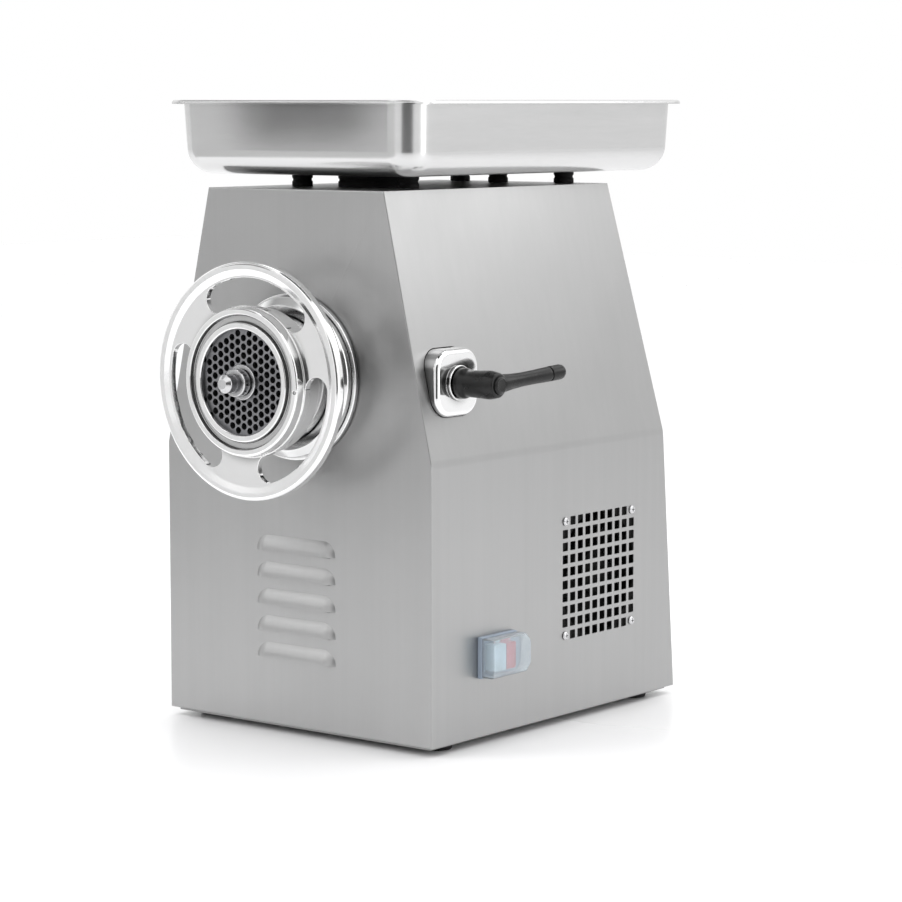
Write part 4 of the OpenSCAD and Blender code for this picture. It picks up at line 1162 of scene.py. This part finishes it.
def make_lever_button():
    """The push button in the hub's end, with a shallow dish."""
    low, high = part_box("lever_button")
    radius = high.z - HEAD_Z
    button = spun("button_turned", "X", (0, CLAMP_Y, HEAD_Z), filleted([
        (0, low.x), (radius, low.x), (radius, high.x - 1.4 * MM, 0.4 * MM),
        (radius - 1.6 * MM, high.x, 0.5 * MM),
        (radius - 2.6 * MM, high.x - 0.6 * MM, 0.4 * MM), (0, high.x - 1.0 * MM)]), 56)
    return shade(button, 35)


# ---- Switch ----


SWITCH_CHAMFER = 7 * MM
BOOT_WALL = 1.2 * MM


def chamfered(name, low, high, chamfer):
    """A box with its two back corners cut off, seen from the side."""
    item = block(name, low, high)
    round_edges(item, lambda e: runs(e, 0) and near(e.verts[0].co.y, high[1]), chamfer, 1)
    return item


def make_bezel():
    """The switch's plate with one window for both buttons."""
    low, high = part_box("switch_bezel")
    plate = chamfered("switch_plate", low, high, SWITCH_CHAMFER)
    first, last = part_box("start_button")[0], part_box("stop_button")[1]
    combine(plate, block("window", (low.x - CUT, first.y - PLAY, first.z - PLAY),
                         (high.x + CUT, last.y + PLAY, last.z + PLAY)))
    return soften(plate, 0.8 * MM, 35, 3)


def make_button(node_name):
    """A press button whose face is inset and sunk a little inside a raised rim."""
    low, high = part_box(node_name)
    button = block(f"{node_name}_block", low, high)
    edit(button)
    pick(button, "FACE", lambda f: f.normal.x > 0.9)
    bpy.ops.mesh.inset(thickness=1.6 * MM)
    bpy.ops.transform.translate(value=(-0.8 * MM, 0, 0))
    leave()
    return soften(button, 0.9 * MM, 20, 3)


def make_boot():
    """The frosted cover over the switch, hollow, with upright ribs on its front wall."""
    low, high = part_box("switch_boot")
    wall = BOOT_WALL
    shell = chamfered("boot_shell", low, high, SWITCH_CHAMFER)
    round_edges(shell, lambda e: lies(e, 0, high.x), 3.2 * MM, 5)
    rib_x, rib_y = low.x + 0.4 * MM, low.y + 0.7 * MM
    rib = rod("rib", 1.0 * MM, (rib_x, rib_y, low.z + 5 * MM), (rib_x, rib_y, high.z - 5 * MM), 20)
    ribs = repeated(rib, [(i * 2.6 * MM + MM, 0, 0) for i in range(4)])
    combine(shell, ribs, "UNION")
    hollow = chamfered("boot_hollow", (low.x - CUT, low.y + wall, low.z + wall),
                       (high.x - wall, high.y - wall, high.z - wall), 6.5 * MM)
    combine(shell, hollow)
    return soften(shell, 0.4 * MM, 35)


# ---- Small fittings ----


def make_screw_heads():
    """The fan's pan-head screws with cross recesses, on their shanks."""
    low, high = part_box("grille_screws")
    half = bpy.context.scene.grinder_sizes.fan_screws / 2
    centre = (FAN_LOW + FAN_HIGH) / 2
    y, z = centre.y - half, centre.z - half
    head = spun("screw", "X", (0, y, z), filleted([
        (0, low.x), (2 * MM, low.x, 0.3 * MM), (2 * MM, SIDE_X), (4 * MM, SIDE_X, 0.2 * MM),
        (4 * MM, SIDE_X + 0.9 * MM, 0.6 * MM),
        (2.8 * MM, high.x - 0.1 * MM, 1.0 * MM), (0, high.x)]), 40)
    slim, long = 0.35 * MM, 1.9 * MM
    for across, up in ((slim, long), (long, slim)):
        combine(head, block("recess", (high.x - 1.1 * MM, y - across, z - up),
                            (high.x + CUT, y + across, z + up)))
    screws = repeated(head, [(0, i * 2 * half, j * 2 * half) for i in (0, 1) for j in (0, 1)])
    return shade(screws, 35)


def make_feet():
    """Rubber feet with a rounded foot edge and a screw hole."""
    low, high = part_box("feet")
    radius, hole = 15 * MM, 3.3 * MM
    foot = spun("foot", "Z", (low.x + radius, low.y + radius, 0), filleted([
        (hole, low.z), (radius - 1.5 * MM, low.z, 0.9 * MM), (radius, high.z, 0.4 * MM), (hole, high.z),
        (hole, low.z)]), 56)
    span = high - low - Vector((2 * radius, 2 * radius, 0))
    return shade(repeated(foot, [(i * span.x, j * span.y, 0) for i in (0, 1) for j in (0, 1)]), 40)


# ---- Finishes by slot ----


def make_finishes(colours):
    """Every slot's material, by slot name."""
    head = (0, 0, HEAD_Z)
    clamp = (0, CLAMP_Y, HEAD_Z)
    return {
        "brushed_steel": brushed_steel("brushed_steel", colours.steel, (1400, 1400, 14)),
        "plain_steel": brushed_steel("plain_steel", toned(colours.steel, 0.8), (900, 30, 900), 0.42),
        "tray_steel": tray_steel(colours.tray),
        "polished_steel": polished_steel("polished_steel", colours.polished, 0.13, head),
        "chrome": polished_steel("chrome", toned(colours.polished, 0.98), 0.07, clamp, (0, 1, 1)),
        "dark_steel": ground_steel("ground_steel", colours.ground, head),
        "cast_metal": cast_metal("cast_steel", toned(colours.polished, 0.62), 0.42),
        "cast_aluminium": cast_metal("cast_aluminium", (0.60, 0.61, 0.62, 1), 0.50, 1.0, 300.0),
        "aluminium": polished_steel("drawn_aluminium", (0.75, 0.75, 0.76, 1), 0.32, (0, 0, 0), (1, 1, 0)),
        "motor_paint": cast_metal("motor_paint", (0.05, 0.06, 0.075, 1), 0.45, 0.0, 500.0),
        "motor_iron": cast_metal("motor_iron", (0.30, 0.24, 0.20, 1), 0.55, 0.8, 700.0),
        "bronze": polished_steel("bronze", (0.65, 0.42, 0.18, 1), 0.24, head),
        "rubber": moulded("rubber", (0.012, 0.012, 0.012, 1), 0.66, 900.0, 0.0001, 0.25),
        "black_plastic": moulded("black_plastic", colours.black, 0.28, specular=0.32),
        "grey_plastic": moulded("grey_plastic", colours.switch_grey, 0.40),
        "pale_plastic": moulded("pale_plastic", colours.start, 0.30, 2200.0, 0.00003),
        "red_plastic": moulded("red_plastic", colours.stop, 0.30, 2200.0, 0.00003),
        "clear_silicone": silicone(colours.silicone),
    }


FINISHES = {}


def finish_for(slot_name):
    if not FINISHES:
        FINISHES.update(make_finishes(bpy.context.scene.grinder_finishes))
    return FINISHES[slot_name]


def stand_in(node_name, item, name=None, finish=None):
    """Finishes a modelled piece in place of one CAD node, and names it."""
    hand_over(item, node_name, finish or finish_for(slot_with(node_name)))
    item.name = name or item.name


def eased(node_name, width=0.4 * MM, finish=None):
    """A CAD node's own shape with its edges eased, as a shown piece."""
    stand_in(node_name, soften(copy_node(node_name), width, 35), finish=finish)


# ---- Operators ----


class GRINDER_OT_casing(bpy.types.Operator):
    """Front with its louvres, side walls with the grille, rear and top sheets"""

    bl_idname = "grinder.casing"
    bl_label = "Casing sheets"

    def execute(self, context):
        sizes = context.scene.grinder_sizes
        stand_in("front_panel", make_front(sizes), "casing_front")
        stand_in("side_panel_right", make_right_side(sizes), "casing_right")
        stand_in("side_panel_left", soften(make_side(sizes, -1), 0.45 * MM, 28), "casing_left")
        stand_in("rear_panel", make_rear(), "casing_rear")
        stand_in("top_panel", make_top(), "casing_top")
        return {"FINISHED"}


class GRINDER_OT_tray(bpy.types.Operator):
    """Drawn tray with its flange and spout"""

    bl_idname = "grinder.tray"
    bl_label = "Tray"

    def execute(self, context):
        stand_in("tray", make_tray(context.scene.grinder_sizes), "tray_bowl")
        return {"FINISHED"}


class GRINDER_OT_tray_seat(bpy.types.Operator):
    """Rubber studs and the gasket under the tray"""

    bl_idname = "grinder.tray_seat"
    bl_label = "Tray seat"

    def execute(self, context):
        stand_in("neck_gasket", make_gasket(), "gasket")
        stand_in("tray_supports", make_supports(), "tray_studs")
        return {"FINISHED"}


class GRINDER_OT_head(bpy.types.Operator):
    """Flange and barrel of the grinding head"""

    bl_idname = "grinder.head"
    bl_label = "Head and barrel"

    def execute(self, context):
        stand_in("head_flange", make_flange(), "flange")
        eased("barrel")
        eased("head_sleeve")
        return {"FINISHED"}


class GRINDER_OT_wheel(bpy.types.Operator):
    """Ring nut with its handwheel"""

    bl_idname = "grinder.wheel"
    bl_label = "Handwheel"

    def execute(self, context):
        stand_in("handwheel_nut", make_wheel(context.scene.grinder_sizes), "handwheel")
        return {"FINISHED"}


class GRINDER_OT_plate(bpy.types.Operator):
    """Hole plate and the nut at its centre"""

    bl_idname = "grinder.plate"
    bl_label = "Hole plate"

    def execute(self, context):
        stand_in("hole_plate", make_plate(), "plate_with_holes")
        stand_in("centre_nut", make_centre_nut(), "pin_nut", frosted_steel("nut_steel"))
        eased("knife", 0.3 * MM)
        return {"FINISHED"}


class GRINDER_OT_clamp(bpy.types.Operator):
    """Square boss, washer and the black lever"""

    bl_idname = "grinder.clamp"
    bl_label = "Clamp"

    def execute(self, context):
        sizes = context.scene.grinder_sizes
        stand_in("clamp_boss", make_boss(sizes), "boss")
        stand_in("clamp_washer", make_washer(), "washer")
        stand_in("clamp_lever", make_lever(sizes), "lever_moulding")
        stand_in("lever_end_cap", make_end_cap(sizes), "lever_cap")
        stand_in("lever_button", make_lever_button(), "lever_push")
        return {"FINISHED"}


class GRINDER_OT_switch(bpy.types.Operator):
    """Switch plate, its two buttons and the frosted cover"""

    bl_idname = "grinder.switch"
    bl_label = "Switch"

    def execute(self, context):
        stand_in("switch_bezel", make_bezel(), "switch_frame")
        stand_in("start_button", make_button("start_button"), "button_start")
        stand_in("stop_button", make_button("stop_button"), "button_stop")
        stand_in("switch_boot", make_boot(), "switch_cover")
        return {"FINISHED"}


class GRINDER_OT_fittings(bpy.types.Operator):
    """Screws, feet, base plate, cable gland and the fan"""

    bl_idname = "grinder.fittings"
    bl_label = "Fittings"

    def execute(self, context):
        stand_in("grille_screws", make_screw_heads(), "fan_screws", frosted_steel("screw_steel"))
        stand_in("feet", make_feet(), "rubber_feet")
        for name in ("rear_screws", "base_plate", "cable_gland"):
            eased(name, 0.3 * MM)
        fan = moulded("fan_plastic", (0.003, 0.003, 0.003, 1), 0.6, specular=0.1)
        for name in ("fan_frame", "fan_rotor"):
            eased(name, 0.3 * MM, fan)
        return {"FINISHED"}


class GRINDER_OT_works(bpy.types.Operator):
    """Finishes of the gearbox, the motor and everything else that stays as the engineering model has it"""

    bl_idname = "grinder.works"
    bl_label = "Works"

    def execute(self, context):
        for name, item in frame["nodes"].items():
            if not item.hide_render:
                item.data.materials.clear()
                item.data.materials.append(finish_for(slot_with(name)))
        return {"FINISHED"}


def area_light(name, place, aim, size, power):
    """A soft rectangular light that faces a point."""
    data = bpy.data.lights.new(name, "AREA")
    data.shape = "RECTANGLE"
    data.size, data.size_y = size
    data.energy = power
    item = bpy.data.objects.new(name, data)
    bpy.context.scene.collection.objects.link(item)
    item.location = place
    item.rotation_euler = (Vector(aim) - Vector(place)).to_track_quat("-Z", "Y").to_euler()


# The walls' light, the extra light from above, and how much a corner high on the left darkens.
WALL_LIGHT, SKY_LIGHT, CORNER_GLOOM = 0.95, 0.4, 0.9
CORNER = Vector((-0.62, -0.11, 0.78)).normalized()
CAMERA_PLACE = (1.7565, -2.2053, 0.5661)
CAMERA_TILT, CAMERA_TURN = math.radians(90 - 6.60), math.radians(38.07)


class GRINDER_OT_stage(bpy.types.Operator):
    """Pale floor, soft studio light and the camera"""

    bl_idname = "grinder.stage"
    bl_label = "Stage"

    def execute(self, context):
        stage = context.scene.grinder_stage
        self.make_floor(stage)
        self.make_lights(stage)
        self.make_flags()
        self.make_world(context.scene)
        self.make_camera(context.scene, stage)
        context.scene.view_settings.view_transform = "Standard"
        return {"FINISHED"}

    def make_floor(self, stage):
        take()
        bpy.ops.mesh.primitive_plane_add(size=14)
        floor = settle("floor")
        finish = Finish("pale_floor", stage.floor, 0, 0.28)
        patches = finish.group("Handling", Scale=1.5)
        finish.gloss(patches["Patches"], 0.26, 0.32)
        floor.data.materials.append(finish.material)

    def make_lights(self, stage):
        aim = (0, 0, 0.3)
        area_light("key", (-1.5, -1.9, 1.7), aim, (1.1, 1.4), stage.key_power)
        area_light("strip", (1.9, 0.1, 0.75), aim, (0.45, 1.5), stage.strip_power)
        area_light("glow", (0.95, 0.80, 0.98), (0.1, -0.1, 0.42), (0.7, 0.5), stage.glow_power)
        area_light("top", (0.1, 0.3, 2.1), aim, (2.0, 2.0), stage.top_power)

    def make_flags(self):
        """Dark and grey cards that only polished surfaces see, as a studio hangs them round shiny steel."""
        left, right = Vector((-0.617, -0.787, 0)), Vector((0.617, -0.787, 0))
        flags = (("flag_left", left * 0.94 + Vector((0, -0.19, 0.75)), left, (1.4, 1.5), 0.60),
                 ("flag_tray", left * 0.35 + Vector((0, -0.2, 0.595)), left, (0.14, 0.2), 0.10),
                 ("flag_top", Vector((0.15, -0.35, 1.7)), Vector((0, 0, 1)), (0.9, 0.9), 0.02),
                 ("flag_camera", right * 2.3 + Vector((0, 0, 0.7)), right, (1.5, 1.4), 0.04))
        for name, place, way, (width, height), tone in flags:
            take()
            bpy.ops.mesh.primitive_plane_add(
                size=1, location=place, rotation=way.to_track_quat("Z", "Y").to_euler())
            flag = bpy.context.active_object
            flag.scale = (width, height, 1)
            flag = settle(name)
            finish = Finish(name, (tone, tone, tone, 1), 0, 0.9)
            finish.gloss(finish.group("Handling", Scale=2.0)["Patches"], 0.85, 0.95)
            flag.data.materials.append(finish.material)
            flag.visible_camera = flag.visible_diffuse = flag.visible_shadow = False

    def make_world(self, scene):
        """Soft light from all round for the object, and a plain white ground behind it."""
        world = bpy.data.worlds.new("studio")
        scene.world = world
        world.use_nodes = True
        tree = world.node_tree
        studio = tree.nodes["Background"]
        place = node(tree, "ShaderNodeTexCoord").outputs["Generated"]
        height = self.along(tree, place, (0, 0, 1), 0.0, 0.8)
        corner = self.along(tree, place, CORNER, 0.90, 0.97)
        gloom = sum_of(tree, corner, CORNER_GLOOM, "MULTIPLY")
        walls = sum_of(tree, WALL_LIGHT, gloom, "SUBTRACT")
        glow = sum_of(tree, height, SKY_LIGHT, "MULTIPLY")
        tree.links.new(sum_of(tree, walls, glow), studio.inputs["Strength"])
        backdrop = node(tree, "ShaderNodeBackground")
        backdrop.inputs["Strength"].default_value = 1.0
        backdrop.inputs["Color"].default_value = (1, 1, 1, 1)
        studio.inputs["Color"].default_value = (1, 1, 1, 1)
        mix = node(tree, "ShaderNodeMixShader")
        tree.links.new(node(tree, "ShaderNodeLightPath").outputs["Is Camera Ray"], mix.inputs[0])
        tree.links.new(studio.outputs[0], mix.inputs[1])
        tree.links.new(backdrop.outputs[0], mix.inputs[2])
        tree.links.new(mix.outputs[0], tree.nodes["World Output"].inputs["Surface"])

    def along(self, tree, place, way, low, high):
        """How far a direction points along a way, 0 to 1 between two cosines."""
        dot = node(tree, "ShaderNodeVectorMath", operation="DOT_PRODUCT")
        tree.links.new(place, dot.inputs[0])
        dot.inputs[1].default_value = way
        return spread(tree, dot.outputs["Value"], low, high)

    def make_camera(self, scene, stage):
        data = bpy.data.cameras.new("camera")
        data.lens = stage.focal_length
        data.sensor_width = 36
        camera = bpy.data.objects.new("camera", data)
        scene.collection.objects.link(camera)
        camera.location = CAMERA_PLACE
        camera.rotation_euler = (CAMERA_TILT, 0, CAMERA_TURN)
        scene.camera = camera


class GRINDER_PT_panel(bpy.types.Panel):
    """Lists the grinder's pieces in the 3D view's sidebar"""

    bl_label = "Meat Grinder"
    bl_idname = "GRINDER_PT_panel"
    bl_space_type = "VIEW_3D"
    bl_region_type = "UI"
    bl_category = "Meat Grinder"

    def draw(self, context):
        for item in OPERATORS:
            self.layout.operator(item.bl_idname)
        scene = context.scene
        for group in (scene.grinder_sizes, scene.grinder_finishes, scene.grinder_stage):
            for key in group.__annotations__:
                self.layout.prop(group, key)


OPERATORS = (
    GRINDER_OT_casing, GRINDER_OT_tray, GRINDER_OT_tray_seat, GRINDER_OT_head, GRINDER_OT_wheel,
    GRINDER_OT_plate, GRINDER_OT_clamp, GRINDER_OT_switch, GRINDER_OT_fittings, GRINDER_OT_works,
    GRINDER_OT_stage)
CLASSES = (GrinderSizes, GrinderFinishes, GrinderStage, *OPERATORS, GRINDER_PT_panel)


def register():
    for item in CLASSES:
        bpy.utils.register_class(item)
    bpy.types.Scene.grinder_sizes = PointerProperty(type=GrinderSizes)
    bpy.types.Scene.grinder_finishes = PointerProperty(type=GrinderFinishes)
    bpy.types.Scene.grinder_stage = PointerProperty(type=GrinderStage)


def unregister():
    del bpy.types.Scene.grinder_stage
    del bpy.types.Scene.grinder_finishes
    del bpy.types.Scene.grinder_sizes
    for item in reversed(CLASSES):
        bpy.utils.unregister_class(item)


def main():
    register()
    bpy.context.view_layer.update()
    bpy.ops.grinder.casing()
    bpy.ops.grinder.tray()
    bpy.ops.grinder.tray_seat()
    bpy.ops.grinder.head()
    bpy.ops.grinder.wheel()
    bpy.ops.grinder.plate()
    bpy.ops.grinder.clamp()
    bpy.ops.grinder.switch()
    bpy.ops.grinder.fittings()
    bpy.ops.grinder.works()
    bpy.ops.grinder.stage()


if __name__ == "__main__":
    main()
